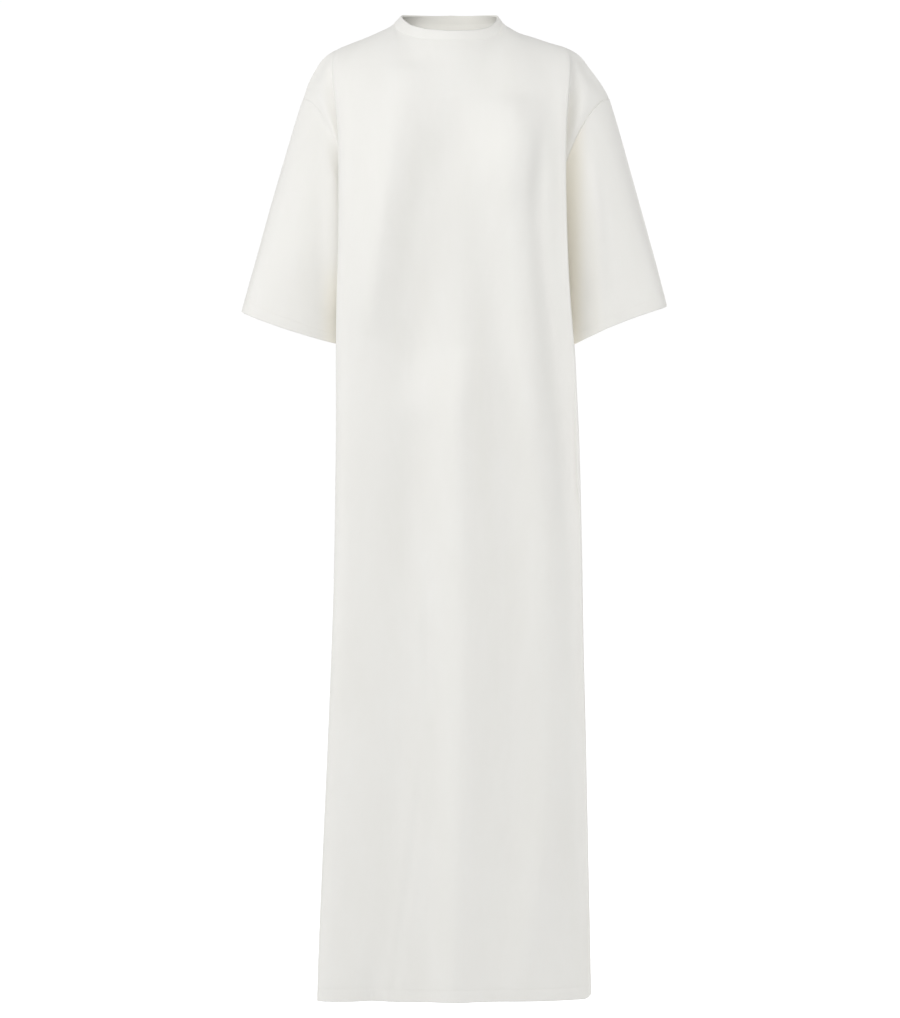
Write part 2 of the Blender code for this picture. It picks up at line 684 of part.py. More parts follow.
def edge_inset(line, n, inward, closed, gap):
    """Steps that move an edge half a seam gap into its piece, mitred at its corners."""
    after = np.roll(line, -1, 0) - line
    before = line - np.roll(line, 1, 0)
    if not closed:
        after[-1], before[0] = before[-1], after[0]
    sides = []
    for step in (before, after):
        m = np.cross(step, n)
        m /= np.linalg.norm(m, axis=-1, keepdims=True)
        sides.append(m * np.sign((m * inward).sum(-1, keepdims=True)))
    between = (sides[0] * sides[1]).sum(-1, keepdims=True)
    return (sides[0] + sides[1]) * gap / 2 / (1 + np.clip(between, -0.3, 1))


def pulled_back(name, wrap, gap=SEAM_GAP):
    """The grid with its seam edges moved half a seam gap into the piece."""
    grid, n = grids[name], lean[name]
    out = grid.copy()
    out[0] += edge_inset(grid[0], n[0], grid[1] - grid[0], wrap, gap)
    if not wrap:
        for c, inside in ((0, 1), (-1, -2)):
            inward = grid[:, inside] - grid[:, c]
            out[:, c] += edge_inset(grid[:, c], n[:, c], inward, False, gap)
    return out


def shell(name, wall, wrap, flip):
    """One closed solid: the outer side, the same grid moved in by the wall, and the rims."""
    outer = pulled_back(name, wrap)
    inner = outer - lean[name] * wall[:, None, None]
    r_count, c_count = outer.shape[:2]
    points = np.concatenate([outer.reshape(-1, 3), inner.reshape(-1, 3)])
    shift = r_count * c_count
    faces = []
    spans = c_count if wrap else c_count - 1
    for r in range(r_count - 1):
        for c in range(spans):
            a, b = r * c_count + c, r * c_count + (c + 1) % c_count
            d, e = a + c_count, b + c_count
            faces.append((a, b, e, d))
            faces.append((a + shift, d + shift, e + shift, b + shift))
    for c in range(spans):
        for r in (0, r_count - 1):
            a, b = r * c_count + c, r * c_count + (c + 1) % c_count
            rim = (a, a + shift, b + shift, b)
            faces.append(rim if r == 0 else rim[::-1])
    if not wrap:
        for r in range(r_count - 1):
            for c in (0, c_count - 1):
                a, b = r * c_count + c, (r + 1) * c_count + c
                rim = (a, b, b + shift, a + shift)
                faces.append(rim if c == 0 else rim[::-1])
    if flip:
        faces = [f[::-1] for f in faces]
    return points, faces


def add(name, points, faces, colour, roughness):
    mesh = bpy.data.meshes.new(name)
    mesh.from_pydata([tuple(p) for p in points], [], faces)
    mesh.shade_smooth()
    mesh.set_sharp_from_angle(angle=np.radians(40))
    made = bpy.data.objects.new(name, mesh)
    bpy.context.scene.collection.objects.link(made)
    material = bpy.data.materials.new(name)
    material.use_nodes = True
    shader = material.node_tree.nodes["Principled BSDF"]
    shader.inputs["Base Color"].default_value = (*colour, 1)
    shader.inputs["Roughness"].default_value = roughness
    shader.inputs["Metallic"].default_value = 0.0
    mesh.materials.append(material)
    return made


panel_wall = np.where(rows >= hem_row, HEM_CLOTH, CLOTH)
sleeve_wall = np.where(sleeve_rows >= cuff_row, HEM_CLOTH, CLOTH)
IVORY = (0.80, 0.79, 0.74)

add("front", *shell("front", panel_wall, False, True), IVORY, 0.85)
add("back", *shell("back", panel_wall, False, False), IVORY, 0.85)
add("sleeve_left", *shell("sleeve_left", sleeve_wall, True, False), IVORY, 0.85)
add("sleeve_right", *shell("sleeve_right", sleeve_wall, True, True), IVORY, 0.85)

# The band is a doubled strip, so its top edge is a round fold
band_wall = np.full(4, BAND_CLOTH)
outer = pulled_back("neckband", True, BAND_SEAM_GAP)
inner = outer - lean["neckband"] * band_wall[:, None, None]
ring = outer.shape[1]
up = outer[-1] - outer[-2]
up /= np.linalg.norm(up, axis=-1, keepdims=True)
middle = (outer[-1] + inner[-1]) / 2
half = (outer[-1] - inner[-1]) / 2
profile = [outer[0], outer[1], outer[2], outer[3]]
for turn in np.radians((45, 90, 135)):
    profile.append(middle + half * np.cos(turn) + up * np.sin(turn) * BAND_CLOTH / 2)
profile += [inner[3], inner[2], inner[1], inner[0]]
points = np.concatenate(profile)
faces = []
for k in range(len(profile)):
    for c in range(ring):
        d = (c + 1) % ring
        following = (k + 1) % len(profile)
        faces.append((k * ring + c, k * ring + d, following * ring + d, following * ring + c))
add("neckband", points, faces, IVORY, 0.85)
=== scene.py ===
"""A long t-shirt dress in ivory double-knit jersey, filled out and hollow, as it hangs when worn.

Metres. X runs to the wearer's left, Y to the back and Z up from the middle of the neck.
"""

import math

import bpy
import numpy as np
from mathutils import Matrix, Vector, noise


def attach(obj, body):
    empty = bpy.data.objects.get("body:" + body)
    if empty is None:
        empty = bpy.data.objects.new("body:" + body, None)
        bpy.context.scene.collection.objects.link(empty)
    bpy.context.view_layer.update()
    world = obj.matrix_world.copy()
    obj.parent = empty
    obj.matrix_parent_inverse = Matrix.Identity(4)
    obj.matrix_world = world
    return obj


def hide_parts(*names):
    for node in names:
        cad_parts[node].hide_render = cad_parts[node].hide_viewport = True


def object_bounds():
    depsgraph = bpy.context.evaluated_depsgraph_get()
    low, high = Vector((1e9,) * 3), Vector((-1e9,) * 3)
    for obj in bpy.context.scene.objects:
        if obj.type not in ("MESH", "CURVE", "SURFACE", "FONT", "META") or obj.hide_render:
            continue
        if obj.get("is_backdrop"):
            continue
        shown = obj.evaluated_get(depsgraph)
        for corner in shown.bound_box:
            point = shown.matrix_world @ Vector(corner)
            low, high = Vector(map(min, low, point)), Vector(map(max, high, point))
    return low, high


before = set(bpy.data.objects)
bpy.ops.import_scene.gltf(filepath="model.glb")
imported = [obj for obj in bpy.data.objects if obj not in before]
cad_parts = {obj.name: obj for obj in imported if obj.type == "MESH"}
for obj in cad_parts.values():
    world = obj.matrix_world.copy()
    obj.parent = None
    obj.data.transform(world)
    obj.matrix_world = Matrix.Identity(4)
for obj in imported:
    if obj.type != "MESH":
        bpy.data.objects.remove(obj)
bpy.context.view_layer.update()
bpy.ops.object.select_all(action="DESELECT")


# The studio: a pale floor under the hem and a surround, both bright enough to look white. The
# strongest soft lamp in front stands on the wearer's right, another far out on that side grazes
# the folds, weaker ones stand in front and on the left, and a low one lights the back.
FLOOR_Z = -1.62
FLOOR_RADIUS = 40.0
SURROUND_LIGHT = 0.38
SURROUND_SEEN = 1.02
FLOOR_GLOW = 0.80
# Each lamp's turn from the front, its rise over the dress's middle, its distance and its watts
LAMPS = {
    "right_side": (-80, 18, 4.2, 36.5),
    "right_front": (-28, 32, 4.2, 49.0),
    "front": (0, 30, 4.2, 16.5),
    "left_front": (45, 25, 4.2, 24.5),
    "left_side": (80, 20, 4.2, 17.0),
    "back": (150, 2, 4.2, 70.0),
}
LAMP_SIZE = 2.0
EYE_PLACE = (-0.0043, -5.0, -0.702)
EYE_LENS = 121.9
DRESS_MIDDLE = Vector((0, 0, -0.6))

bpy.ops.mesh.primitive_circle_add(vertices=96, radius=FLOOR_RADIUS, fill_type="NGON")
floor = bpy.context.object
floor.name = "floor"
floor.location.z = FLOOR_Z
paint = bpy.data.materials.new("floor_paint")
paint.use_nodes = True
nodes, links = paint.node_tree.nodes, paint.node_tree.links
shader = nodes["Principled BSDF"]
patches = nodes.new("ShaderNodeTexNoise")
patches.inputs["Scale"].default_value = 0.6
tones = nodes.new("ShaderNodeValToRGB")
tones.color_ramp.elements[0].color = (0.90, 0.90, 0.90, 1)
tones.color_ramp.elements[1].color = (0.93, 0.93, 0.93, 1)
links.new(patches.outputs["Fac"], tones.inputs["Fac"])
links.new(tones.outputs["Color"], shader.inputs["Base Color"])
shader.inputs["Roughness"].default_value = 0.9
rays = nodes.new("ShaderNodeLightPath")
glow = nodes.new("ShaderNodeMath")
glow.operation = "MULTIPLY"
glow.inputs[1].default_value = FLOOR_GLOW
shader.inputs["Emission Color"].default_value = (1, 1, 1, 1)
links.new(rays.outputs["Is Camera Ray"], glow.inputs[0])
links.new(glow.outputs[0], shader.inputs["Emission Strength"])
floor.data.materials.append(paint)
floor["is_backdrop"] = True

world = bpy.data.worlds.new("surround")
bpy.context.scene.world = world
world.use_nodes = True
nodes, links = world.node_tree.nodes, world.node_tree.links
soft = nodes["Background"]
soft.inputs["Color"].default_value = (0.985, 0.99, 1.0, 1)
soft.inputs["Strength"].default_value = SURROUND_LIGHT
seen = nodes.new("ShaderNodeBackground")
seen.inputs["Color"].default_value = (1, 1, 1, 1)
seen.inputs["Strength"].default_value = SURROUND_SEEN
rays = nodes.new("ShaderNodeLightPath")
either = nodes.new("ShaderNodeMixShader")
links.new(rays.outputs["Is Camera Ray"], either.inputs["Fac"])
links.new(soft.outputs["Background"], either.inputs[1])
links.new(seen.outputs["Background"], either.inputs[2])
links.new(either.outputs["Shader"], nodes["World Output"].inputs["Surface"])

for name, (turn, rise, away, watts) in LAMPS.items():
    turn, rise = math.radians(turn), math.radians(rise)
    level = away * math.cos(rise)
    place = Vector((level * math.sin(turn), -level * math.cos(turn), away * math.sin(rise)))
    bpy.ops.object.light_add(type="AREA", location=place + DRESS_MIDDLE)
    lamp = bpy.context.object
    lamp.name = name
    lamp.data.shape = "DISK"
    lamp.data.size = LAMP_SIZE
    lamp.data.energy = watts
    lamp.rotation_euler = (-place).to_track_quat("-Z", "Y").to_euler()

bpy.ops.object.camera_add(location=EYE_PLACE, rotation=(math.pi / 2, 0, 0))
eye = bpy.context.object
eye.data.lens = EYE_LENS
eye.data.sensor_width = 36
bpy.context.scene.camera = eye
bpy.context.scene.view_settings.view_transform = "Standard"


# The jersey: a heavy, smooth double knit. Fine wales run down each cut piece and every loop
# leans to one side, so the face is matt with the slightest grain. The yarn is ivory, a little
# uneven in tone; a painted warm shade stands in for light bouncing between layers.
WALE, COURSE = 0.0009, 0.0007
IVORY_LIGHT, IVORY_DEEP = (0.885, 0.876, 0.842), (0.862, 0.852, 0.812)
# A warm tint painted in where the cloth lies in shade between layers, as painted bounce light
IVORY_PAINTED_WARM_SHADE = (0.905, 0.870, 0.775)

knit = bpy.data.node_groups.new("fine_knit", "ShaderNodeTree")
knit.interface.new_socket("Weave", in_out="INPUT", socket_type="NodeSocketVector")
knit.interface.new_socket("Wale", in_out="INPUT", socket_type="NodeSocketFloat")
knit.interface.new_socket("Course", in_out="INPUT", socket_type="NodeSocketFloat")
knit.interface.new_socket("Loops", in_out="OUTPUT", socket_type="NodeSocketFloat")
knit.interface.new_socket("Tone", in_out="OUTPUT", socket_type="NodeSocketFloat")
inside, wires = knit.nodes, knit.links
given, out = inside.new("NodeGroupInput"), inside.new("NodeGroupOutput")
split = inside.new("ShaderNodeSeparateXYZ")
wires.new(given.outputs["Weave"], split.inputs[0])


def knit_math(kind, first, second=None):
    """One arithmetic step of the knit, on sockets or plain numbers."""
    step = inside.new("ShaderNodeMath")
    step.operation = kind
    for socket, value in zip(step.inputs, (first, second)):
        if value is None:
            continue
        if isinstance(value, (int, float)):
            socket.default_value = value
        else:
            wires.new(value, socket)
    return step.outputs[0]


column = knit_math("FRACT", knit_math("DIVIDE", split.outputs[0], given.outputs["Wale"]))
from_middle = knit_math("ABSOLUTE", knit_math("SUBTRACT", column, 0.5))
rounded = knit_math("COSINE", knit_math("MULTIPLY", from_middle, math.pi))
course = knit_math("DIVIDE", split.outputs[1], given.outputs["Course"])
leaning = knit_math("ADD", course, from_middle)
loop = knit_math("SINE", knit_math("MULTIPLY", leaning, 2 * math.pi))
raised = knit_math("MULTIPLY", knit_math("MULTIPLY", loop, 0.35), rounded)
wires.new(knit_math("ADD", rounded, raised), out.inputs["Loops"])
stretch = inside.new("ShaderNodeVectorMath")
stretch.operation = "MULTIPLY"
stretch.inputs[1].default_value = (9.0, 3.0, 1.0)
wires.new(given.outputs["Weave"], stretch.inputs[0])
yarn = inside.new("ShaderNodeTexNoise")
yarn.inputs["Scale"].default_value = 1.6
yarn.inputs["Detail"].default_value = 6.0
yarn.inputs["Roughness"].default_value = 0.62
wires.new(stretch.outputs[0], yarn.inputs["Vector"])
wires.new(yarn.outputs["Fac"], out.inputs["Tone"])


def jersey(name, light, deep, rough=0.86):
    """A material of the knit, whose pattern follows the cut piece."""
    made = bpy.data.materials.new(name)
    made.use_nodes = True
    nodes, links = made.node_tree.nodes, made.node_tree.links
    shader = nodes["Principled BSDF"]
    cut = nodes.new("ShaderNodeAttribute")
    cut.attribute_name = "cut"
    face = nodes.new("ShaderNodeGroup")
    face.node_tree = knit
    face.inputs["Wale"].default_value = WALE
    face.inputs["Course"].default_value = COURSE
    tone = nodes.new("ShaderNodeValToRGB")
    tone.color_ramp.elements[0].position = 0.30
    tone.color_ramp.elements[1].position = 0.70
    tone.color_ramp.elements[0].color = (*deep, 1)
    tone.color_ramp.elements[1].color = (*light, 1)
    gloss = nodes.new("ShaderNodeMapRange")
    gloss.inputs["To Min"].default_value = rough - 0.05
    gloss.inputs["To Max"].default_value = rough + 0.05
    grain = nodes.new("ShaderNodeBump")
    grain.inputs["Strength"].default_value = 0.22
    grain.inputs["Distance"].default_value = 0.00012
    links.new(cut.outputs["Vector"], face.inputs["Weave"])
    links.new(face.outputs["Tone"], tone.inputs["Fac"])
    links.new(face.outputs["Tone"], gloss.inputs["Value"])
    links.new(face.outputs["Loops"], grain.inputs["Height"])
    # Painted warm shade: mixed into the base colour by a share given at each point
    painted_shade_warmth = nodes.new("ShaderNodeAttribute")
    painted_shade_warmth.attribute_name = "painted_shade_warmth"
    painted_shade_mix = nodes.new("ShaderNodeMix")
    painted_shade_mix.data_type = "RGBA"
    painted_shade_mix.inputs["B"].default_value = (*IVORY_PAINTED_WARM_SHADE, 1)
    links.new(painted_shade_warmth.outputs["Fac"], painted_shade_mix.inputs["Factor"])
    links.new(tone.outputs["Color"], painted_shade_mix.inputs["A"])
    links.new(painted_shade_mix.outputs["Result"], shader.inputs["Base Color"])
    links.new(gloss.outputs["Result"], shader.inputs["Roughness"])
    links.new(grain.outputs["Normal"], shader.inputs["Normal"])
    shader.inputs["Specular IOR Level"].default_value = 0.25
    shader.inputs["Sheen Weight"].default_value = 0.12
    shader.inputs["Sheen Roughness"].default_value = 0.6
    return made


# The front: one cut piece from the neckline and the shoulder seams to the hem. It hangs from
# the shoulders, swings round a fold beside each arm and goes back into the armhole behind it.
# The hem is turned up inside once and held by a row of fine stitches.
HEM_Z = -1.4025
UNDERARM_Z = -0.285
UNDERARM_X = 0.1420
NECK_X, NECK_HALF_WIDTH = -0.0068, 0.0778
NECK_DEPTH = {-1: 0.066, 1: 0.062}
ARMHOLE_TOP = {1: (0.2270, -0.1075), -1: (-0.2175, -0.1075)}
ARMHOLE_DEPTH = {-1: 0.055, 1: 0.058}
ARMHOLE_INSET = {-1: 0.021, 1: 0.014}
VALLEY_Y = 0.056
# The piece is drawn as a smooth net of 16 rows by 21 columns, 6 of the rows from the top to the
# underarm. Places on it are counted along its splines: across from 0 in the middle to 9 at each
# side, and down from 0 at the top over 5 at the underarm to 13 at the hem.
ROWS, COLUMNS, MIDDLE, UPPER_ROWS = 16, 21, 10, 6
SIDE_COLUMN, UNDERARM_ROW = 9, 5.0
# How far along those splines the cloth is drawn to its true edges, and the folds fade out there
EDGE_ROWS, EDGE_COLUMNS, FADE_ROWS, FADE_COLUMNS = 1.6, 2.2, 0.8, 1.5
NECK_COLUMN, NECK_COLUMN_FADE, UNDERARM_FADE = 1.9, 0.4, 1.5
# Points 1 and 3 across the piece take this share of the depth of the point after them
TOWARDS_NECK, TOWARDS_SHOULDER = 0.28, 0.6
# The point between the fold's edge and the valley behind it takes these shares of their x and y
FOLD_SHARE, VALLEY_SHARE = (0.85, 0.68), (0.15, 0.32)
CLOTH = 0.0011
HEM_FOLD = 0.0013
HEM_TURN = 0.018
FOLD_TURNS = np.radians((30, 60, 90, 120, 150))
STITCH_UP, STITCH_DIP, STITCH_DIP_WIDTH = 0.0165, 0.0002, 0.0020
SEAM_DIP, SEAM_WIDTH, SHOULDER_DIP = 0.0005, 0.0017, 0.5
ARMHOLE_DIP = {1: 1.0, -1: 0.2}
NECK_ROUNDING, NECK_ROUND_OVER = 0.0014, 0.0070
NECK_CREASE, NECK_CREASE_WIDTH = 0.00025, 0.0009
# The hem's corner rises where the front turns round the fold on the wearer's left
CORNER_X, CORNER_WIDTH, CORNER_HEIGHT, CORNER_LIFT = 0.1995, 0.007, 0.05, 0.0075
CORNER_BACK, CORNER_FADE = -0.04, 0.03
# Painted warm shade on the front, in the valley behind the fold beside the wearer's left arm
ARM_SHADE_COLUMN, ARM_SHADE_SPREAD, ARM_PAINTED_SHADE = 6.6, 0.7, 0.7
ARM_SHADE_TOP, ARM_SHADE_TOP_FADE, ARM_SHADE_LOW, ARM_SHADE_LOW_FADE = -0.09, 0.06, -0.50, 0.10
# A fold starts over this height, and ends where the cloth turns away to its side
FOLD_START, FOLD_FACING = 0.03, 0.6


def table(names, *rows):
    """One array for each named column."""
    return dict(zip(names.split(), np.array(rows, float).T))


def fold_along(*rows):
    """A fold's height, place, half width and depth along it. A depth below 0 is a hollow."""
    return table("z x width depth", *rows)


# A side is 1 on the wearer's left and -1 on the right; a face is -1 in front and 1 behind.
# The neckline's height by the angle from its front (or its back), towards low x and high x
NECKLINE = {
    -1: table(
        "angle low_x high_x",
        (0, -0.0315, -0.0315),
        (25, -0.0288, -0.0300),
        (50, -0.0205, -0.0240),
        (70, -0.0105, -0.0130),
        (90, 0.0015, 0.0030),
    ),
    1: table(
        "angle low_x high_x",
        (0, 0.0070, 0.0070),
        (45, 0.0062, 0.0066),
        (90, 0.0015, 0.0030),
    ),
}
# Shoulder seams, from the neckline over the shoulder to the top of the armhole
SHOULDER_LEFT_OF_WEARER = table(
    "x z",
    (0.0710, 0.0030),
    (0.0813, -0.0032),
    (0.0958, -0.0115),
    (0.1146, -0.0175),
    (0.1407, -0.0262),
    (0.1610, -0.0320),
    (0.1741, -0.0378),
    (0.1857, -0.0465),
    (0.1958, -0.0596),
    (0.2089, -0.0770),
    (0.2205, -0.0944),
    (0.2270, -0.1075),
)
SHOULDER_RIGHT_OF_WEARER = table(
    "x z",
    (0.0846, 0.0015),
    (0.1015, -0.0075),
    (0.1232, -0.0175),
    (0.1450, -0.0262),
    (0.1667, -0.0349),
    (0.1783, -0.0407),
    (0.1899, -0.0509),
    (0.2015, -0.0683),
    (0.2102, -0.0857),
    (0.2175, -0.1075),
)
# Where the columns start on the shoulder seam, from the neckline outwards
TOP_X = {
    1: (0.0710, 0.0980, 0.1280, 0.1580, 0.1680, 0.1800, 0.1950, 0.2130, 0.2270),
    -1: (0.0846, 0.1090, 0.1350, 0.1600, 0.1690, 0.1790, 0.1910, 0.2060, 0.2175),
}
# The armhole's angle from its top at each row
ARMHOLE_ANGLE = table(
    "row angle", (0, 0), (0.333, 6), (1, 20), (2, 46), (3, 80), (4, 124), (5, 180)
)
# How far back the cloth curves at each share of the way from the middle to the fold
ACROSS = table(
    "x back", (0.0, 0.0), (0.30, 0.015), (0.57, 0.09), (0.80, 0.30), (0.93, 0.62)
)
# How much flatter than that the front is drawn towards each side. Below 0 is rounder.
FLATTER = {1: -0.9, -1: 0.6}
# The net's rows above the underarm. A drop is the share of the way down from the top edge, in
# the middle (c), at the shoulder (s) and at the fold (f). y is the depth, also by the neck (n).
FRONT_UPPER = table(
    "drop_c drop_s drop_f y_c y_n y_s fold_l fold_r fold_y valley_x valley_y puff_x puff_y",
    (0.03, 0.005, 0.01, -0.071, -0.014, -0.013, 0.163, 0.166, -0.013, 0.176, -0.012, 0.194, -0.011),
    (0.10, 0.045, 0.06, -0.083, -0.044, -0.038, 0.170, 0.176, -0.037, 0.173, -0.026, 0.193, -0.029),
    (0.26, 0.180, 0.22, -0.102, -0.082, -0.070, 0.1695, 0.1745, -0.067, 0.163, -0.036, 0.188, -0.047),
    (0.48, 0.410, 0.46, -0.115, -0.106, -0.094, 0.1635, 0.1665, -0.089, 0.151, -0.046, 0.168, -0.055),
    (0.74, 0.700, 0.74, -0.121, -0.118, -0.109, 0.1620, 0.1650, -0.099, 0.142, -0.056, 0.142, -0.050),
)
# The net's rows from the underarm to the hem, on the wearer's left (l) and right (r): the edge
# of the fold beside the arm and the leg, the valley behind it and the side seam
FRONT_LOWER = table(
    "z y_c fold_l foldy_l valley_l side_l fold_r foldy_r valley_r side_r",
    (UNDERARM_Z, -0.122, 0.1635, -0.101, 0.142, 0.142, 0.1645, -0.101, 0.142, 0.142),
    (-0.335, -0.121, 0.1650, -0.101, 0.143, 0.132, 0.1655, -0.101, 0.143, 0.132),
    (-0.400, -0.119, 0.1680, -0.100, 0.148, 0.132, 0.1675, -0.100, 0.148, 0.132),
    (-0.480, -0.117, 0.1750, -0.098, 0.162, 0.144, 0.1682, -0.098, 0.159, 0.144),
    (-0.600, -0.114, 0.1808, -0.094, 0.179, 0.176, 0.1668, -0.098, 0.164, 0.163),
    (-0.780, -0.111, 0.1848, -0.088, 0.182, 0.188, 0.1696, -0.098, 0.165, 0.169),
    (-0.980, -0.109, 0.1893, -0.084, 0.184, 0.1915, 0.1766, -0.098, 0.168, 0.175),
    (-1.190, -0.108, 0.1945, -0.082, 0.188, 0.1955, 0.1866, -0.097, 0.176, 0.182),
    (-1.330, -0.107, 0.1978, -0.081, 0.191, 0.1980, 0.1940, -0.096, 0.181, 0.188),
    (HEM_Z, -0.106, 0.1984, -0.081, 0.192, 0.1985, 0.1960, -0.096, 0.182, 0.190),
)
# The skirt's long middle ridge, the folds on both sides of it, those of the chest and the waist,
# and the fine creases and the tuck low on the wearer's right
FRONT_FOLDS = (
    fold_along(
        (-0.460, 0.014, 0.024, 0.000),
        (-0.560, 0.011, 0.029, 0.0153),
        (-0.700, 0.013, 0.029, 0.0118),
        (-0.900, 0.017, 0.032, 0.0132),
        (-1.100, 0.013, 0.033, 0.0146),
        (-1.280, 0.006, 0.031, 0.0123),
        (-1.403, 0.003, 0.029, 0.0115),
    ),
    fold_along(
        (-0.330, 0.048, 0.019, 0.000),
        (-0.460, 0.055, 0.022, -0.0020),
        (-0.600, 0.063, 0.027, -0.0076),
        (-0.780, 0.073, 0.026, -0.0112),
        (-0.950, 0.077, 0.023, -0.0060),
        (-1.150, 0.074, 0.020, -0.0045),
        (-1.340, 0.068, 0.019, -0.0014),
    ),
    fold_along(
        (-0.450, 0.099, 0.021, 0.000),
        (-0.600, 0.117, 0.024, 0.0090),
        (-0.800, 0.132, 0.025, 0.0064),
        (-1.000, 0.134, 0.024, 0.0039),
        (-1.200, 0.124, 0.028, 0.0081),
        (-1.330, 0.106, 0.025, 0.0043),
        (-1.403, 0.092, 0.021, 0.000),
    ),
    fold_along(
        (-0.500, -0.059, 0.025, 0.000),
        (-0.700, -0.062, 0.029, -0.0090),
        (-0.900, -0.069, 0.027, -0.0024),
        (-1.100, -0.080, 0.023, -0.0035),
        (-1.250, -0.095, 0.021, -0.0015),
        (-1.403, -0.109, 0.020, -0.0035),
    ),
    fold_along(
        (-0.050, -0.058, 0.033, 0.000),
        (-0.080, -0.061, 0.033, 0.0052),
        (-0.160, -0.078, 0.037, 0.0119),
        (-0.260, -0.091, 0.033, 0.0189),
        (-0.360, -0.104, 0.028, 0.0154),
        (-0.460, -0.112, 0.022, 0.000),
    ),
    fold_along(
        (-0.100, 0.011, 0.031, 0.000),
        (-0.200, -0.018, 0.036, -0.0126),
        (-0.300, -0.045, 0.034, -0.0091),
        (-0.400, -0.060, 0.030, -0.0126),
        (-0.480, -0.063, 0.030, -0.0175),
        (-0.560, -0.064, 0.026, 0.000),
    ),
    fold_along(
        (-0.250, 0.002, 0.020, 0.000),
        (-0.360, 0.009, 0.021, 0.0022),
        (-0.460, 0.017, 0.022, 0.0073),
        (-0.560, 0.027, 0.021, 0.000),
    ),
    fold_along(
        (-0.100, 0.089, 0.037, 0.000),
        (-0.200, 0.089, 0.038, 0.0248),
        (-0.300, 0.090, 0.034, 0.0130),
        (-0.400, 0.100, 0.028, 0.0140),
        (-0.550, 0.108, 0.027, 0.0063),
        (-0.640, 0.112, 0.026, 0.000),
    ),
    fold_along(
        (-0.150, 0.122, 0.013, 0.000),
        (-0.250, 0.119, 0.014, -0.0062),
        (-0.380, 0.130, 0.016, -0.0063),
        (-0.500, 0.152, 0.019, -0.0084),
        (-0.640, 0.168, 0.020, -0.0084),
        (-0.760, 0.172, 0.020, 0.000),
    ),
    fold_along(
        (-0.780, -0.040, 0.004, 0.000),
        (-0.840, -0.039, 0.004, -0.0010),
        (-0.930, -0.037, 0.004, -0.0008),
        (-0.990, -0.035, 0.004, 0.000),
    ),
    fold_along(
        (-1.050, -0.043, 0.004, 0.000),
        (-1.120, -0.050, 0.004, -0.0013),
        (-1.251, -0.067, 0.004, -0.0013),
        (-1.361, -0.081, 0.004, -0.0016),
        (-1.403, -0.086, 0.004, -0.0010),
    ),
    fold_along(
        (-1.330, -0.122, 0.014, 0.000),
        (-1.380, -0.120, 0.016, -0.0039),
        (-1.403, -0.118, 0.018, -0.0063),
    ),
)
SHOULDER_SEAM = {1: SHOULDER_LEFT_OF_WEARER, -1: SHOULDER_RIGHT_OF_WEARER}


def smooth(t):
    """0 to 1 with level ends."""
    t = np.clip(t, 0, 1)
    return t * t * (3 - 2 * t)


def curve(x, xs, ys):
    """A smooth line through the points of a table, without overshoot."""
    xs, ys = np.asarray(xs, float), np.asarray(ys, float)
    if xs[0] > xs[-1]:
        xs, ys = xs[::-1], ys[::-1]
    run = np.diff(xs)
    rise = np.diff(ys) / run
    slope = np.zeros(len(xs))
    for i in range(1, len(xs) - 1):
        if rise[i - 1] * rise[i] > 0:
            a = 2 * run[i] + run[i - 1]
            b = run[i] + 2 * run[i - 1]
            slope[i] = (a + b) / (a / rise[i - 1] + b / rise[i])
    slope[0], slope[-1] = rise[0], rise[-1]
    x = np.clip(x, xs[0], xs[-1])
    k = np.clip(np.searchsorted(xs, x, side="right") - 1, 0, len(xs) - 2)
    t = (x - xs[k]) / run[k]
    return (
        ys[k] * (1 + 2 * t) * (1 - t) ** 2
        + ys[k + 1] * t**2 * (3 - 2 * t)
        + run[k] * (slope[k] * t * (1 - t) ** 2 - slope[k + 1] * t**2 * (1 - t))
    )


def knots_of(count):
    """The knots of a cubic spline that starts and ends at its own end points."""
    last = count - 3
    return np.concatenate([np.zeros(3), np.arange(last + 1), np.full(3, last)])


def weights(count, at):
    """How much each of count control points pulls a cubic spline at each place."""
    knots = knots_of(count)
    at = np.clip(np.asarray(at, float), 0, count - 3 - 1e-9)
    pull = ((knots[None, :-1] <= at[:, None]) & (at[:, None] < knots[None, 1:])).astype(float)
    for degree in (1, 2, 3):
        grown = np.zeros((len(at), pull.shape[1] - 1))
        for i in range(grown.shape[1]):
            before = knots[i + degree] - knots[i]
            after = knots[i + degree + 1] - knots[i + 1]
            if before > 0:
                grown[:, i] += (at - knots[i]) / before * pull[:, i]
            if after > 0:
                grown[:, i] += (knots[i + degree + 1] - at) / after * pull[:, i + 1]
        pull = grown
    return pull


def row_of(count):
    """The place along a spline that each of its control points stands at."""
    return np.array([knots_of(count)[i + 1 : i + 4].mean() for i in range(count)])


def round_neck(angle, face, heights, middle_x, half_width, depths):
    """The front or back half of a ring round the neck, by the angle from its middle."""
    turn = np.abs(angle)
    low_x, high_x = (
        curve(turn, heights[face]["angle"], heights[face][way]) for way in ("low_x", "high_x")
    )
    x = middle_x + half_width * np.sin(np.radians(angle))
    y = face * depths[face] * np.cos(np.radians(turn))
    return np.stack([x, y, np.where(np.asarray(angle) < 0, low_x, high_x)], -1)


def neckline(angle, face):
    """The seam that joins the panels to the neckband."""
    return round_neck(angle, face, NECKLINE, NECK_X, NECK_HALF_WIDTH, NECK_DEPTH)


def armhole(row, side, face):
    """The armhole seam's front or back half, from its top (row 0) to the underarm."""
    turn = np.radians(curve(row, ARMHOLE_ANGLE["row"], ARMHOLE_ANGLE["angle"]))
    top_x, top_z = ARMHOLE_TOP[side]
    under_x = side * UNDERARM_X
    x = (top_x + under_x) / 2 + (top_x - under_x) / 2 * np.cos(turn)
    # 1.25 brings the hollow's deepest place to about 1
    hollow = 1.25 * np.sin(turn) * np.sqrt(0.5 + 0.5 * np.cos(turn))
    x = x - side * ARMHOLE_INSET[face] * hollow
    z = (top_z + UNDERARM_Z) / 2 + (top_z - UNDERARM_Z) / 2 * np.cos(turn)
    return np.stack([x, face * ARMHOLE_DEPTH[face] * np.sin(turn), z], -1)


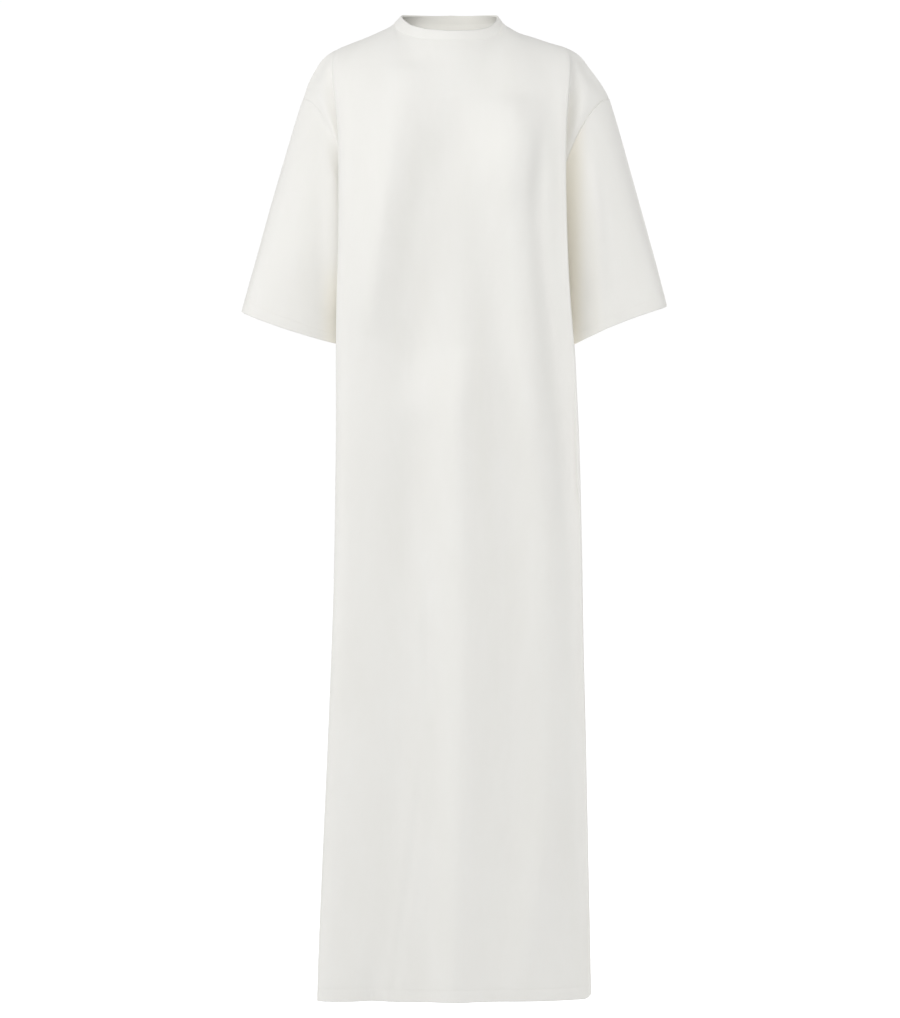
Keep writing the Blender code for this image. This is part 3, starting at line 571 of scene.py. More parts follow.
def top_edge(column, face):
    """The neckline in the middle and a shoulder seam on each side."""
    out = []
    for c in column:
        side = 1 if c > 0 else -1
        if abs(c) <= 2:
            out.append(neckline(c * 45.0, face))
            continue
        x = curve(abs(c), row_of(COLUMNS)[MIDDLE + 2 :] - SIDE_COLUMN, TOP_X[side])
        seam = SHOULDER_SEAM[side]
        out.append(np.array((side * x, 0.0, float(curve(x, seam["x"], seam["z"])))))
    return np.array(out)


def cage(face, upper, lower):
    """The piece's control points, row by row from the top edge to the hem.

    On each side of the middle, points 0 to 4 lie across the piece, 5 is the edge of the fold
    beside the arm, 7 the valley behind it, 8 the puff of cloth there, and 10 the seam.
    """
    rows = row_of(ROWS)
    points = np.zeros((ROWS, COLUMNS, 3))
    points[0] = top_edge(row_of(COLUMNS) - SIDE_COLUMN, face)
    for r in range(1, ROWS):
        for side, key in ((1, "l"), (-1, "r")):
            above = r < UPPER_ROWS
            k = r - 1 if above else r - UPPER_ROWS
            if above:
                spread = smooth(rows[r] / UNDERARM_ROW) ** 0.7
                fold = (side * upper["fold_" + key][k], upper["fold_y"][k])
                valley = (side * upper["valley_x"][k], upper["valley_y"][k])
                puff = (side * upper["puff_x"][k], upper["puff_y"][k])
                edge = armhole(rows[r : r + 1], side, face)[0]
                y_c = upper["y_c"][k]
            else:
                spread = 1.0
                fold = (side * lower["fold_" + key][k], lower["foldy_" + key][k])
                valley = (side * lower["valley_" + key][k], face * VALLEY_Y)
                edge = np.array((side * lower["side_" + key][k], 0.0, lower["z"][k]))
                puff = ((valley[0] + edge[0]) / 2, face * VALLEY_Y / 2)
                y_c = lower["y_c"][k]
            flat = FLATTER[side] if face < 0 else 0.0
            line = np.zeros((MIDDLE + 1, 3))
            for c in range(5):
                top = points[0, MIDDLE + side * c]
                line[c, 0] = top[0] * (1 - spread) + fold[0] * ACROSS["x"][c] * spread
                line[c, 1] = y_c + (fold[1] - y_c) * ACROSS["back"][c] * (1 - flat)
            if above:
                y_n, y_s = upper["y_n"][k], upper["y_s"][k]
                y_s += (y_n - y_s) * flat
                line[1, 1] = y_c * (1 - TOWARDS_NECK) + y_n * TOWARDS_NECK
                line[2, 1] = y_n
                line[3, 1] = y_n * (1 - TOWARDS_SHOULDER) + y_s * TOWARDS_SHOULDER
                line[4, 1] = y_s
            line[5, :2] = fold
            line[6, :2] = np.array(fold) * FOLD_SHARE + np.array(valley) * VALLEY_SHARE
            line[7, :2] = valley
            line[8, :2] = puff
            line[9, :2] = (np.array(puff) + edge[:2]) / 2
            line[10] = edge
            if above:
                share = np.array(
                    [upper["drop_c"][k]] * 2
                    + [(upper["drop_c"][k] + upper["drop_s"][k]) / 2]
                    + [upper["drop_s"][k]] * 2
                    + [upper["drop_f"][k]] * 6
                )
                for c in range(MIDDLE):
                    top = points[0, MIDDLE + side * c, 2]
                    line[c, 2] = top + (UNDERARM_Z - top) * share[c]
                line[8, 2] = (line[7, 2] + edge[2]) / 2
                line[9, 2] = (line[8, 2] + edge[2]) / 2
            else:
                line[:, 2] = lower["z"][k]
            for c in range(MIDDLE + 1):
                points[r, MIDDLE + side * c] = line[c]
    return points


def side_seam(row, side):
    """The side seam's points from the underarm down, the same for front and back."""
    points = np.zeros((ROWS, 3))
    points[:UPPER_ROWS] = (side * UNDERARM_X, 0, UNDERARM_Z)
    points[UPPER_ROWS:, 0] = side * FRONT_LOWER["side_l" if side > 0 else "side_r"]
    points[UPPER_ROWS:, 2] = FRONT_LOWER["z"]
    start = weights(ROWS, [UNDERARM_ROW]) @ points
    fade = 1 - smooth((np.asarray(row) - UNDERARM_ROW) / UNDERARM_FADE)
    return weights(ROWS, row) @ points + (points[0] - start) * fade[:, None]


def creased(x, z, folds):
    """How far the folds move the cloth out at each place."""
    push = np.zeros_like(x)
    for f in folds:
        path = curve(z, f["z"], f["x"])
        width = curve(z, f["z"], f["width"])
        depth = curve(z, f["z"], f["depth"]) * smooth((f["z"][0] - z) / FOLD_START)
        push += depth * np.exp(-(((x - path) / width) ** 2))
    return push


def normals_of(grid, rolled=False):
    """Unit normals of a grid of points. A rolled grid's two side edges meet."""
    across = np.gradient(grid, axis=1)
    if rolled:
        across[:, 0] = across[:, -1] = (grid[:, 1] - grid[:, -2]) / 2
    n = np.cross(across, np.gradient(grid, axis=0))
    return n / np.maximum(np.linalg.norm(n, axis=-1, keepdims=True), 1e-12)


def along(grid, axis):
    """The distance over the cloth from the first row or column to each point."""
    step = np.linalg.norm(np.diff(grid, axis=axis), axis=-1)
    start = [(1, 0), (0, 0)] if axis == 0 else [(0, 0), (1, 0)]
    return np.cumsum(np.pad(step, start), axis=axis)


def uneven(grid, size, tall, depth, start):
    """Slight unevenness of the cloth, stretched down its length."""
    flat = grid.reshape(-1, 3)
    out = [noise.noise(Vector((p[0] / size + start, p[1] / size, p[2] / tall))) for p in flat]
    return depth * np.array(out).reshape(grid.shape[:2])


def turned_up(grid, n, rows_up):
    """The grid with its last row folded round to the inside and turned up behind itself."""
    down = grid[-1] - grid[-2]
    down /= np.linalg.norm(down, axis=-1, keepdims=True)
    fold = []
    for turn in FOLD_TURNS:
        inward, below = 1 - np.cos(turn), np.sin(turn)
        fold.append(grid[-1] - n[-1] * HEM_FOLD * inward + down * HEM_FOLD * below)
    up = [grid[-k] - n[-k] * 2 * HEM_FOLD for k in range(1, rows_up + 1)]
    return np.concatenate([grid, fold, up])


def sewn_edge(d):
    """How the cloth sinks towards a seam, by the distance from it."""
    return -SEAM_DIP * np.exp(-((d / SEAM_WIDTH) ** 2))


def neck_edge(d):
    """How the cloth fills the hollow round the neckline, with a fine crease at its seam."""
    crease = NECK_CREASE * np.exp(-((d / NECK_CREASE_WIDTH) ** 2))
    return NECK_ROUNDING * np.exp(-d / NECK_ROUND_OVER) - crease


def stitched_dip(d, width):
    """How the stitches pull the cloth in, by the distance from their row."""
    return -STITCH_DIP * np.exp(-((d / width) ** 2))


def panel(face, upper, lower, folds, rows, columns):
    """A front or back piece as a grid of points on its outer side, without its hem."""
    grid = np.einsum(
        "ar,bc,rcx->abx",
        weights(ROWS, rows),
        weights(COLUMNS, columns + SIDE_COLUMN),
        cage(face, upper, lower),
    )
    top = top_edge(columns, face) - grid[0]
    grid += top[None] * (1 - smooth(rows / EDGE_ROWS))[:, None, None]
    for side in (1, -1):
        edge = np.where(
            (rows < UNDERARM_ROW)[:, None],
            armhole(np.minimum(rows, UNDERARM_ROW), side, face),
            side_seam(np.maximum(rows, UNDERARM_ROW), side),
        )
        off = edge - grid[:, np.argmax(side * columns)]
        near = 1 - smooth((SIDE_COLUMN - side * columns) / EDGE_COLUMNS)
        grid += off[:, None] * near[None, :, None]
    n = normals_of(grid)
    push = creased(grid[..., 0], grid[..., 2], folds)
    push *= smooth(face * n[..., 1] / FOLD_FACING)
    push += uneven(grid, size=0.10, tall=0.42, depth=0.0008, start=3.1 * face) + uneven(
        grid, size=0.035, tall=0.12, depth=0.0003, start=7.7
    )
    push *= smooth((SIDE_COLUMN - np.abs(columns)) / FADE_COLUMNS)[None]
    push *= smooth(rows / FADE_ROWS)[:, None]
    grid = grid + n * push[..., None]
    n = normals_of(grid)
    width, fall = along(grid, 1), along(grid, 0)
    dip = ARMHOLE_DIP[-face] * sewn_edge(width)
    dip += ARMHOLE_DIP[face] * sewn_edge(width[:, -1:] - width)
    shoulder = smooth((np.abs(columns) - NECK_COLUMN) / NECK_COLUMN_FADE)[None]
    dip += SHOULDER_DIP * sewn_edge(fall) * shoulder + neck_edge(fall) * (1 - shoulder)
    low = fall[-1:] - fall
    dip += stitched_dip(low - STITCH_UP, STITCH_DIP_WIDTH)
    return grid + n * dip[..., None]


def cloth(name, grid, material, painted_shade_warmth=None):
    """A mesh of the cut piece: a flat grid laid on its place, with the cloth's thickness."""
    down, across = grid.shape[:2]
    bpy.ops.mesh.primitive_grid_add(x_subdivisions=across - 1, y_subdivisions=down - 1, size=1)
    piece = bpy.context.object
    piece.name = piece.data.name = name
    piece.data.vertices.foreach_set("co", grid.reshape(-1))
    width = along(grid, 1)
    width -= width[:, across // 2][:, None]
    cut = np.stack([width, -along(grid, 0), np.zeros((down, across))], -1)
    mark = piece.data.attributes.new("cut", "FLOAT_VECTOR", "POINT")
    mark.data.foreach_set("vector", cut.reshape(-1))
    # The share of painted warm shade at each point, if any
    if painted_shade_warmth is not None:
        mark = piece.data.attributes.new("painted_shade_warmth", "FLOAT", "POINT")
        mark.data.foreach_set("value", painted_shade_warmth.reshape(-1))
    piece.data.update()
    bpy.ops.object.shade_smooth()
    wall = piece.modifiers.new("cloth", "SOLIDIFY")
    wall.thickness = CLOTH
    wall.offset = -1
    wall.use_quality_normals = True
    bpy.ops.object.modifier_apply(modifier="cloth")
    piece.data.materials.append(material)
    piece.select_set(False)
    return piece


def rows_near_hem(heights):
    """The rows at which the side seam is this high over the fold of the hem."""
    rows = np.linspace(ROWS - 4.0, ROWS - 3.0, 200)
    seam = side_seam(rows, 1)[:, 2]
    return np.interp(HEM_Z + HEM_FOLD + np.asarray(heights), seam[::-1], rows[::-1])


# The finished cloth has far more rows and columns than the net, and they stand closer together
# at its seams, its stitches and its hem. The rows by the hem are given by their height over its
# fold, and those up to the turn's height are turned up.
ABOVE_TURN = (0.022,)
IN_TURN = (HEM_TURN, 0.0175, 0.0170, 0.0165, 0.0160, 0.0155, 0.0148, 0.012, 0.008, 0.004, 0.0015, 0.0)
HEM_ROWS_UP = len(IN_TURN)
hem_rows = rows_near_hem(ABOVE_TURN + IN_TURN)
DRESS_ROWS = np.concatenate(
    [
        (0, 0.006, 0.014, 0.025, 0.04, 0.065, 0.10, 0.15, 0.22, 0.30),
        np.linspace(0.38, 4.96, 60),
        (5.0,),
        np.linspace(5.06, hem_rows[0] - 0.03, 92),
        hem_rows,
    ]
)
half_columns = np.concatenate(
    [
        np.linspace(0, 3.6, 34),
        np.linspace(3.68, 6.6, 38),
        np.linspace(6.75, 8.7, 15),
        (8.80, 8.87, 8.915, 8.945, 8.965, 8.98, 8.99, SIDE_COLUMN),
    ]
)
DRESS_COLUMNS = np.concatenate([-half_columns[:0:-1], half_columns])

ivory = jersey("ivory_jersey", IVORY_LIGHT, IVORY_DEEP)

front_columns = DRESS_COLUMNS[::-1]
front_outer = panel(-1, FRONT_UPPER, FRONT_LOWER, FRONT_FOLDS, DRESS_ROWS, front_columns)
x, y, z = (front_outer[..., axis] for axis in range(3))
corner = np.exp(-(((x - CORNER_X) / CORNER_WIDTH) ** 2))
corner *= smooth((CORNER_BACK - y) / CORNER_FADE) * np.exp((HEM_Z - z) / CORNER_HEIGHT)
front_outer[..., 2] += CORNER_LIFT * corner
front_grid = turned_up(front_outer, normals_of(front_outer), HEM_ROWS_UP)
# Painted warm shade beside the wearer's left arm, between the given heights
painted_shade_by_arm = np.exp(-(((front_columns - ARM_SHADE_COLUMN) / ARM_SHADE_SPREAD) ** 2))[None]
z = front_grid[..., 2]
painted_shade_by_arm = ARM_PAINTED_SHADE * painted_shade_by_arm * smooth((ARM_SHADE_TOP - z) / ARM_SHADE_TOP_FADE)
painted_shade_by_arm = painted_shade_by_arm * smooth((z - ARM_SHADE_LOW) / ARM_SHADE_LOW_FADE)
front = cloth("front_cloth", front_grid, ivory, painted_shade_by_arm)
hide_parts("front")
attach(front, "root")


# The back: cut like the front, with a higher and flatter neckline. It hangs straight from the
# shoulder blades, with a fold behind each arm and longer, deeper flutes in the skirt.
BACK_UPPER = table(
    "drop_c drop_s drop_f y_c y_n y_s fold_l fold_r fold_y valley_x valley_y puff_x puff_y",
    (0.03, 0.005, 0.01, 0.067, 0.014, 0.013, 0.162, 0.164, 0.013, 0.176, 0.012, 0.194, 0.011),
    (0.08, 0.045, 0.06, 0.079, 0.043, 0.037, 0.168, 0.170, 0.036, 0.175, 0.026, 0.193, 0.029),
    (0.22, 0.180, 0.22, 0.095, 0.075, 0.067, 0.1710, 0.1730, 0.063, 0.170, 0.040, 0.188, 0.049),
    (0.45, 0.410, 0.46, 0.104, 0.095, 0.088, 0.1680, 0.1690, 0.081, 0.160, 0.048, 0.172, 0.057),
    (0.73, 0.700, 0.74, 0.106, 0.104, 0.099, 0.1650, 0.1660, 0.088, 0.145, 0.056, 0.145, 0.052),
)
BACK_LOWER = table(
    "z y_c fold_l foldy_l valley_l side_l fold_r foldy_r valley_r side_r",
    (UNDERARM_Z, 0.104, 0.1660, 0.088, 0.144, 0.142, 0.1660, 0.088, 0.144, 0.142),
    (-0.335, 0.103, 0.1680, 0.088, 0.145, 0.132, 0.1670, 0.088, 0.145, 0.132),
    (-0.400, 0.101, 0.1750, 0.088, 0.152, 0.132, 0.1690, 0.088, 0.150, 0.132),
    (-0.480, 0.100, 0.1840, 0.086, 0.167, 0.144, 0.1745, 0.086, 0.161, 0.144),
    (-0.600, 0.104, 0.1850, 0.084, 0.182, 0.176, 0.1730, 0.085, 0.168, 0.163),
    (-0.780, 0.108, 0.1870, 0.082, 0.184, 0.188, 0.1710, 0.084, 0.167, 0.169),
    (-0.980, 0.109, 0.1900, 0.080, 0.186, 0.1925, 0.1760, 0.082, 0.170, 0.175),
    (-1.190, 0.108, 0.1940, 0.079, 0.188, 0.1970, 0.1840, 0.080, 0.175, 0.182),
    (-1.330, 0.107, 0.1970, 0.078, 0.190, 0.2000, 0.1890, 0.080, 0.180, 0.188),
    (HEM_Z, 0.106, 0.1980, 0.078, 0.191, 0.2010, 0.1910, 0.080, 0.181, 0.190),
)
BACK_FOLDS = (
    fold_along(
        (-0.120, 0.070, 0.020, 0.000),
        (-0.260, 0.090, 0.022, -0.005),
        (-0.460, 0.083, 0.022, -0.006),
        (-0.700, 0.070, 0.020, 0.000),
    ),
    fold_along(
        (-0.150, -0.085, 0.020, 0.000),
        (-0.300, -0.098, 0.022, -0.006),
        (-0.520, -0.088, 0.021, -0.005),
        (-0.740, -0.080, 0.020, 0.000),
    ),
    fold_along(
        (-0.400, 0.010, 0.020, 0.000),
        (-0.640, 0.018, 0.022, 0.006),
        (-1.000, 0.012, 0.025, 0.007),
        (-1.401, 0.022, 0.028, 0.008),
    ),
    fold_along(
        (-0.560, -0.050, 0.018, 0.000),
        (-0.820, -0.056, 0.020, -0.006),
        (-1.150, -0.048, 0.022, -0.008),
        (-1.401, -0.056, 0.024, -0.008),
    ),
    fold_along(
        (-0.620, 0.080, 0.018, 0.000),
        (-0.880, 0.084, 0.020, -0.005),
        (-1.180, 0.092, 0.023, -0.008),
        (-1.401, 0.088, 0.025, -0.008),
    ),
    fold_along(
        (-0.700, -0.118, 0.020, 0.000),
        (-1.000, -0.116, 0.022, 0.005),
        (-1.401, -0.124, 0.026, 0.007),
    ),
)

back_outer = panel(1, BACK_UPPER, BACK_LOWER, BACK_FOLDS, DRESS_ROWS, DRESS_COLUMNS)
back_grid = turned_up(back_outer, normals_of(back_outer), HEM_ROWS_UP)
back = cloth("back_cloth", back_grid, ivory)
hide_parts("back")
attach(back, "root")


# The sleeves: each is one wide piece, sewn into the dropped armhole and closed by a seam under
# the arm. It falls as a wide tube, a little flattened, to a turned and stitched hem.
SLEEVE_OUTER = {1: (0.3100, -0.4080), -1: (-0.3060, -0.4158)}
SLEEVE_INNER = {1: (0.1600, -0.4690), -1: (-0.1600, -0.4620)}
SLEEVE_HEM_BOW = {1: 0.006, -1: -0.0025}
SLEEVE_HEM_DEPTH, SLEEVE_HEM_TILT = 0.052, 0.005
SLEEVE_LENGTH, SLEEVE_EASE, SLEEVE_CROWN, UNDERARM_LIFT = 0.25, 0.007, 0.002, 0.004
CUFF_STITCH_UP, CUFF_DIP_WIDTH = 0.0135, 0.0018
SLEEVE_FLATTENED = {1: 0.50, -1: 0.42}
# How far the sleeve goes on in the panels' own direction before it turns down, by their run
# over their last columns. It fades from the front and back of the armhole to the underarm.
RUN_ON = {1: 0.0, -1: 0.015}
RUN_COLUMNS, RUN_ON_UNTIL, RUN_ON_FADE = 8, 2.7, 1.8
# Painted warm shade on the sleeves beside the body, on the right only low down
SHADE_BODY_SIDE, SHADE_BODY_FADE = 0.196, 0.024
BODY_PAINTED_SHADE = {1: 0.95, -1: 0.7}
RIGHT_SHADE_BELOW, RIGHT_SHADE_FADE = -0.33, 0.07
SLEEVE_SEAM_DIP, SLEEVE_FADE_STEPS, SLEEVE_FADE_ROWS, SLEEVE_FOLD_FACING = 0.6, 0.15, 0.8, 0.3
# How round the cuff is, and how the ease swells along the sleeve and round it
CUFF_ROUNDING, CROWN_CURVE, EASE_UNTIL, EASE_CURVE, EASE_AROUND = 0.9, 0.7, 0.8, 1.2, 1.5
SLEEVE_FRONT_FOLDS = {
    1: (
        fold_along(
            (-0.095, 0.200, 0.010, 0.000),
            (-0.140, 0.213, 0.011, -0.003),
            (-0.220, 0.232, 0.012, 0.000),
        ),
        fold_along(
            (-0.240, 0.190, 0.010, 0.000),
            (-0.330, 0.200, 0.011, -0.0008),
            (-0.460, 0.205, 0.012, -0.0020),
        ),
    ),
    -1: (
        fold_along(
            (-0.130, -0.176, 0.014, 0.000),
            (-0.200, -0.172, 0.015, 0.0075),
            (-0.300, -0.168, 0.016, 0.0115),
            (-0.380, -0.166, 0.015, 0.0085),
            (-0.430, -0.166, 0.013, 0.000),
        ),
    ),
}
SLEEVE_BACK_FOLDS = {
    1: (
        fold_along(
            (-0.170, 0.195, 0.010, 0.000),
            (-0.280, 0.205, 0.012, -0.005),
            (-0.440, 0.215, 0.013, -0.005),
        ),
    ),
    -1: (
        fold_along(
            (-0.150, -0.200, 0.010, 0.000),
            (-0.270, -0.203, 0.012, -0.005),
            (-0.450, -0.220, 0.013, -0.004),
        ),
    ),
}


def run_of_panels(side, row, face):
    """The direction in which the front or the back reaches its armhole at each row."""
    runs = {}
    for which, points in ((-1, front_outer), (1, back_outer)):
        inwards = points if side * which < 0 else points[:, ::-1]
        runs[which] = inwards[:, 0] - inwards[:, RUN_COLUMNS]
    run = [
        [np.interp(r, DRESS_ROWS, runs[which][:, axis]) for axis in range(3)]
        for r, which in zip(row, face)
    ]
    return np.array(run) / np.linalg.norm(run, axis=-1, keepdims=True)


def sleeve_tube(side, steps, around):
    """The sleeve's outer side, rolled from the underarm seam round the front to the back."""
    face = np.where(around < 0, -1, 1)
    row = np.abs(around)
    start = np.array([armhole(np.array([r]), side, f)[0] for r, f in zip(row, face)])
    turn = np.radians(curve(row, ARMHOLE_ANGLE["row"], ARMHOLE_ANGLE["angle"])) * -face
    outer, inner = np.array(SLEEVE_OUTER[side]), np.array(SLEEVE_INNER[side])
    across = np.sign(np.cos(turn)) * np.abs(np.cos(turn)) ** CUFF_ROUNDING
    deep = -np.sign(np.sin(turn)) * np.abs(np.sin(turn)) ** SLEEVE_FLATTENED[side]
    middle = (outer + inner) / 2
    height = middle[1] + (outer[1] - inner[1]) / 2 * across
    height += SLEEVE_HEM_BOW[side] * (1 - across**2) + SLEEVE_HEM_TILT * deep
    end = np.stack(
        [middle[0] + (outer[0] - inner[0]) / 2 * across, deep * SLEEVE_HEM_DEPTH, height], -1
    )
    grid = start[None] + (end - start)[None] * steps[:, None, None]
    if RUN_ON[side] > 0:
        length = np.linalg.norm(end - start, axis=-1)
        fall = length[None] * steps[:, None]
        bend = run_of_panels(side, row, face) - (end - start) / length[:, None]
        bend *= (1 - smooth((row - RUN_ON_UNTIL) / RUN_ON_FADE))[:, None]
        grid += bend[None] * (fall * np.exp(-fall / RUN_ON[side]))[..., None]
    lift = np.clip(-np.cos(turn), 0, 1)[None] * np.sin(np.pi * steps)[:, None]
    crown = np.clip(np.cos(turn), 0, 1)[None]
    crown = crown * np.sin(np.pi * np.clip(steps, 0, 1))[:, None] ** CROWN_CURVE
    grid[..., 0] += side * (UNDERARM_LIFT * lift + SLEEVE_CROWN * crown)
    centre = grid.mean(axis=1, keepdims=True)
    out = grid - centre
    out /= np.linalg.norm(out, axis=-1, keepdims=True)
    ease = SLEEVE_EASE * np.sin(np.pi * np.clip(steps / EASE_UNTIL, 0, 1)) ** EASE_CURVE
    swell = np.abs(np.sin(turn)) ** EASE_AROUND
    grid = grid + out * ease[:, None, None] * swell[None, :, None]
    n = normals_of(grid, rolled=True)
    folds = (SLEEVE_FRONT_FOLDS[side], SLEEVE_BACK_FOLDS[side])
    fronts, backs = (creased(grid[..., 0], grid[..., 2], f) for f in folds)
    facing = smooth(np.abs(n[..., 1]) / SLEEVE_FOLD_FACING)
    push = np.where(n[..., 1] < 0, fronts, backs) * facing
    push += uneven(grid, size=0.06, tall=0.10, depth=0.0008, start=11.3 * side)
    seam = smooth((UNDERARM_ROW - np.abs(around)) / SLEEVE_FADE_ROWS)[None]
    push *= smooth(steps / SLEEVE_FADE_STEPS)[:, None] * seam
    grid = grid + n * push[..., None]
    n = normals_of(grid, rolled=True)
    fall, width = along(grid, 0), along(grid, 1)
    dip = ARMHOLE_DIP[side] * sewn_edge(fall)
    dip += SLEEVE_SEAM_DIP * (sewn_edge(width) + sewn_edge(width[:, -1:] - width))
    low = fall[-1:] - fall
    dip += stitched_dip(low - CUFF_STITCH_UP, CUFF_DIP_WIDTH)
    return grid + n * dip[..., None]


# The rows by the cuff, by their height over its fold. The last ten of them are turned up.
ABOVE_CUFF_TURN = (0.020, 0.0165, 0.0150)
IN_CUFF_TURN = (0.0145, 0.0140, 0.0135, 0.0130, 0.0120, 0.009, 0.006, 0.003, 0.001, 0.0)
CUFF_ROWS_UP = len(IN_CUFF_TURN)
cuff_steps = 1 - (np.array(ABOVE_CUFF_TURN + IN_CUFF_TURN) + HEM_FOLD) / SLEEVE_LENGTH
SLEEVE_STEPS = np.concatenate(
    [
        (0, 0.003, 0.007, 0.012, 0.02, 0.032, 0.05, 0.075),
        np.linspace(0.10, cuff_steps[0] - 0.015, 46),
        cuff_steps,
    ]
)
half_round = np.concatenate(
    [np.linspace(0, 4.6, 52), (4.68, 4.76, 4.83, 4.88, 4.92, 4.95, 4.975, UNDERARM_ROW)]
)
SLEEVE_AROUND = np.concatenate([-half_round[::-1], half_round[1:]])
sleeve_outers = {}
for side, name in ((1, "left"), (-1, "right")):
    outer = sleeve_tube(side, SLEEVE_STEPS, SLEEVE_AROUND)
    if side > 0:
        outer = outer[:, ::-1]
    sleeve_outers[side] = outer
    grid = turned_up(outer, normals_of(outer, rolled=True), CUFF_ROWS_UP)
    # Painted warm shade on the side of the sleeve that faces the body
    painted_shade_by_body = smooth((SHADE_BODY_SIDE - side * grid[..., 0]) / SHADE_BODY_FADE) * BODY_PAINTED_SHADE[side]
    if side < 0:
        painted_shade_by_body *= smooth((RIGHT_SHADE_BELOW - grid[..., 2]) / RIGHT_SHADE_FADE)
    sleeve = cloth("sleeve_cloth_" + name, grid, ivory, painted_shade_by_body)
    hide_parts("sleeve_" + name)
    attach(sleeve, "root")


# The neckband: a strip of the same knit, folded in half along its length and sewn round the
# neckline with its seam at the middle of the back. It stands up and leans in a little.
BAND_TOP_X, BAND_TOP_HALF_WIDTH = -0.0048, 0.0692
BAND_TOP_DEPTH = {-1: 0.0625, 1: 0.0640}
# The band's inner faces are painted lighter and warmer than its outer faces: painted light for what
# shines through and bounces inside the neck
PAINTED_INSIDE_LIGHT, PAINTED_INSIDE_DEEP = (0.955, 0.940, 0.885), (0.935, 0.918, 0.855)
BAND_FOLD = 0.0013
BAND_PLUMP, BAND_HEIGHT = 0.0006, 0.016
BAND_ALLOWANCE = (0.0010, 0.0025, 0.0040, 0.0060, 0.0080, 0.0100)
ALLOWANCE_OUT, ALLOWANCE_OUT_OVER = 0.0006, 0.004
BAND_TOP = {
    -1: table(
        "angle low_x high_x",
        (0, -0.0165, -0.0165),
        (25, -0.0135, -0.0150),
        (50, -0.0060, -0.0095),
        (70, 0.0040, 0.0010),
        (90, 0.0140, 0.0130),
    ),
    1: table(
        "angle low_x high_x",
        (0, 0.0228, 0.0228),
        (45, 0.0203, 0.0203),
        (70, 0.0175, 0.0172),
        (90, 0.0140, 0.0130),
    ),
}


def band_top(angle, face):
    """The band's top edge."""
    return round_neck(angle, face, BAND_TOP, BAND_TOP_X, BAND_TOP_HALF_WIDTH, BAND_TOP_DEPTH)


BAND_AROUND = np.concatenate(
    [(180, 179.95, 179.8), np.linspace(179.2, -179.2, 240), (-179.8, -179.95, -180)]
)
DOWN_BAND = np.array((1.0, 0.94, 0.86, 0.75, 0.63, 0.5, 0.37, 0.25, 0.15, 0.09, 0.05, 0.02, 0))
seam_line, top_line = [], []
for turn in BAND_AROUND:
    face = -1 if abs(turn) <= 90 else 1
    angle = turn if face < 0 else math.copysign(180 - abs(turn), turn)
    seam_line.append(neckline(np.array([angle]), face)[0])
    top_line.append(band_top(np.array([angle]), face)[0])
seam_line, top_line = np.array(seam_line), np.array(top_line)
outer = seam_line[None] + (top_line - seam_line)[None] * DOWN_BAND[:, None, None]
n = normals_of(outer, rolled=True)
plump = BAND_PLUMP * np.sin(np.pi * DOWN_BAND) ** 0.6 + neck_edge(DOWN_BAND * BAND_HEIGHT)
outer = outer + n * plump[:, None, None]
n = normals_of(outer, rolled=True)
lift = outer[0] - outer[1]
lift /= np.linalg.norm(lift, axis=-1, keepdims=True)
top_fold = []
for turn in FOLD_TURNS:
    inward, above = 1 - np.cos(turn), np.sin(turn) - 1
    top_fold.append(outer[0] - n[0] * BAND_FOLD * inward + lift * BAND_FOLD * above)
inner = outer - n * 2 * BAND_FOLD
down = inner[-1] - inner[-2]
down /= np.linalg.norm(down, axis=-1, keepdims=True)
allowance = []
for d in BAND_ALLOWANCE:
    stands_out = ALLOWANCE_OUT * smooth(d / ALLOWANCE_OUT_OVER)
    allowance.append(inner[-1] + down * d + n[-1] * stands_out)
band_grid = np.concatenate([allowance[::-1], inner[::-1], np.array(top_fold)[::-1], outer])
neckband = cloth("neckband_cloth", band_grid, ivory)
# Faces turned inwards take the lighter inside colours, painted light
neckband.data.materials.append(jersey("ivory_jersey_inside_painted_light", PAINTED_INSIDE_LIGHT, PAINTED_INSIDE_DEEP))
for facet in neckband.data.polygons:
    out = Vector((facet.center.x - BAND_TOP_X, facet.center.y, 0)).dot(facet.normal)
    facet.material_index = int(out < 0)
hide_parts("neckband")
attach(neckband, "root")


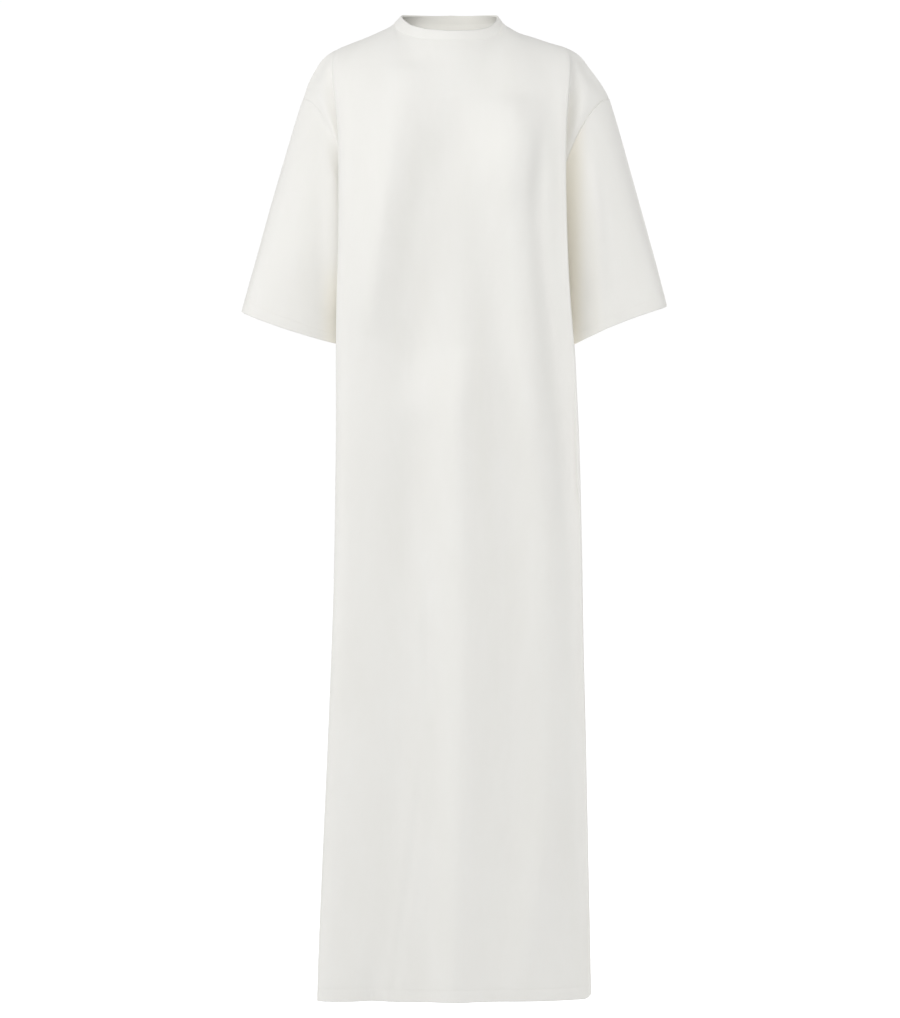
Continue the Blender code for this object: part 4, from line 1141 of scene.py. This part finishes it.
# The hem stitches: one row of tonal thread round the dress hem and each sleeve hem, through
# both layers. Each stitch is a short strand that lies in the dent that it pulls.
STITCH_PITCH, STITCH_LONG, STITCH_THICK, STITCH_RISE = 0.0034, 0.0026, 0.00038, 0.25
thread = bpy.data.materials.new("ivory_thread")
thread.use_nodes = True
nodes, links = thread.node_tree.nodes, thread.node_tree.links
shader = nodes["Principled BSDF"]
place = nodes.new("ShaderNodeTexCoord")
ply = nodes.new("ShaderNodeTexNoise")
ply.inputs["Scale"].default_value = 900.0
shades = nodes.new("ShaderNodeValToRGB")
shades.color_ramp.elements[0].color = (0.80, 0.79, 0.745, 1)
shades.color_ramp.elements[1].color = (0.88, 0.87, 0.83, 1)
links.new(place.outputs["Object"], ply.inputs["Vector"])
links.new(ply.outputs["Fac"], shades.inputs["Fac"])
links.new(shades.outputs["Color"], shader.inputs["Base Color"])
shader.inputs["Roughness"].default_value = 0.55
shader.inputs["Sheen Weight"].default_value = 0.1


def stitched(name, line, n):
    """A row of stitches along a line on the cloth, as one mesh."""
    run = along(line[None], 1)[0]
    count = int(run[-1] / STITCH_PITCH)
    bpy.ops.mesh.primitive_uv_sphere_add(segments=6, ring_count=4, radius=0.5)
    one = bpy.context.object
    shape = np.array([v.co for v in one.data.vertices])
    corners = [tuple(p.vertices) for p in one.data.polygons]
    bpy.data.objects.remove(one, do_unlink=True)
    points, faces = [], []
    for k in range(count):
        at = (k + 0.5) * run[-1] / count
        here = np.array([np.interp(at, run, line[:, i]) for i in range(3)])
        ahead = np.array([np.interp(at + 0.001, run, line[:, i]) for i in range(3)])
        out = np.array([np.interp(at, run, n[:, i]) for i in range(3)])
        way = ahead - here
        way /= np.linalg.norm(way)
        out /= np.linalg.norm(out)
        over = np.cross(out, way)
        base = len(points) * len(shape)
        points.append(
            here
            + shape[:, 2:3] * STITCH_LONG * way
            + shape[:, 0:1] * STITCH_THICK * over
            + (shape[:, 1:2] * STITCH_THICK + STITCH_THICK * STITCH_RISE) * out
        )
        faces += [tuple(base + v for v in f) for f in corners]
    mesh = bpy.data.meshes.new(name)
    mesh.from_pydata(np.concatenate(points).tolist(), [], faces)
    mesh.shade_smooth()
    row = bpy.data.objects.new(name, mesh)
    bpy.context.scene.collection.objects.link(row)
    mesh.materials.append(thread)
    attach(row, "root")


for name, outer, up in (
    ("stitches_front_hem", front_outer, STITCH_UP),
    ("stitches_back_hem", back_outer, STITCH_UP),
    ("stitches_sleeve_left", sleeve_outers[1], CUFF_STITCH_UP),
    ("stitches_sleeve_right", sleeve_outers[-1], CUFF_STITCH_UP),
):
    fall = along(outer, 0)
    low = fall[-1].mean() - fall.mean(axis=1)
    row = int(np.argmin(np.abs(low - up)))
    n = normals_of(outer, rolled="sleeve" in name)
    stitched(name, outer[row, ::-1], n[row, ::-1])


low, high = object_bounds()
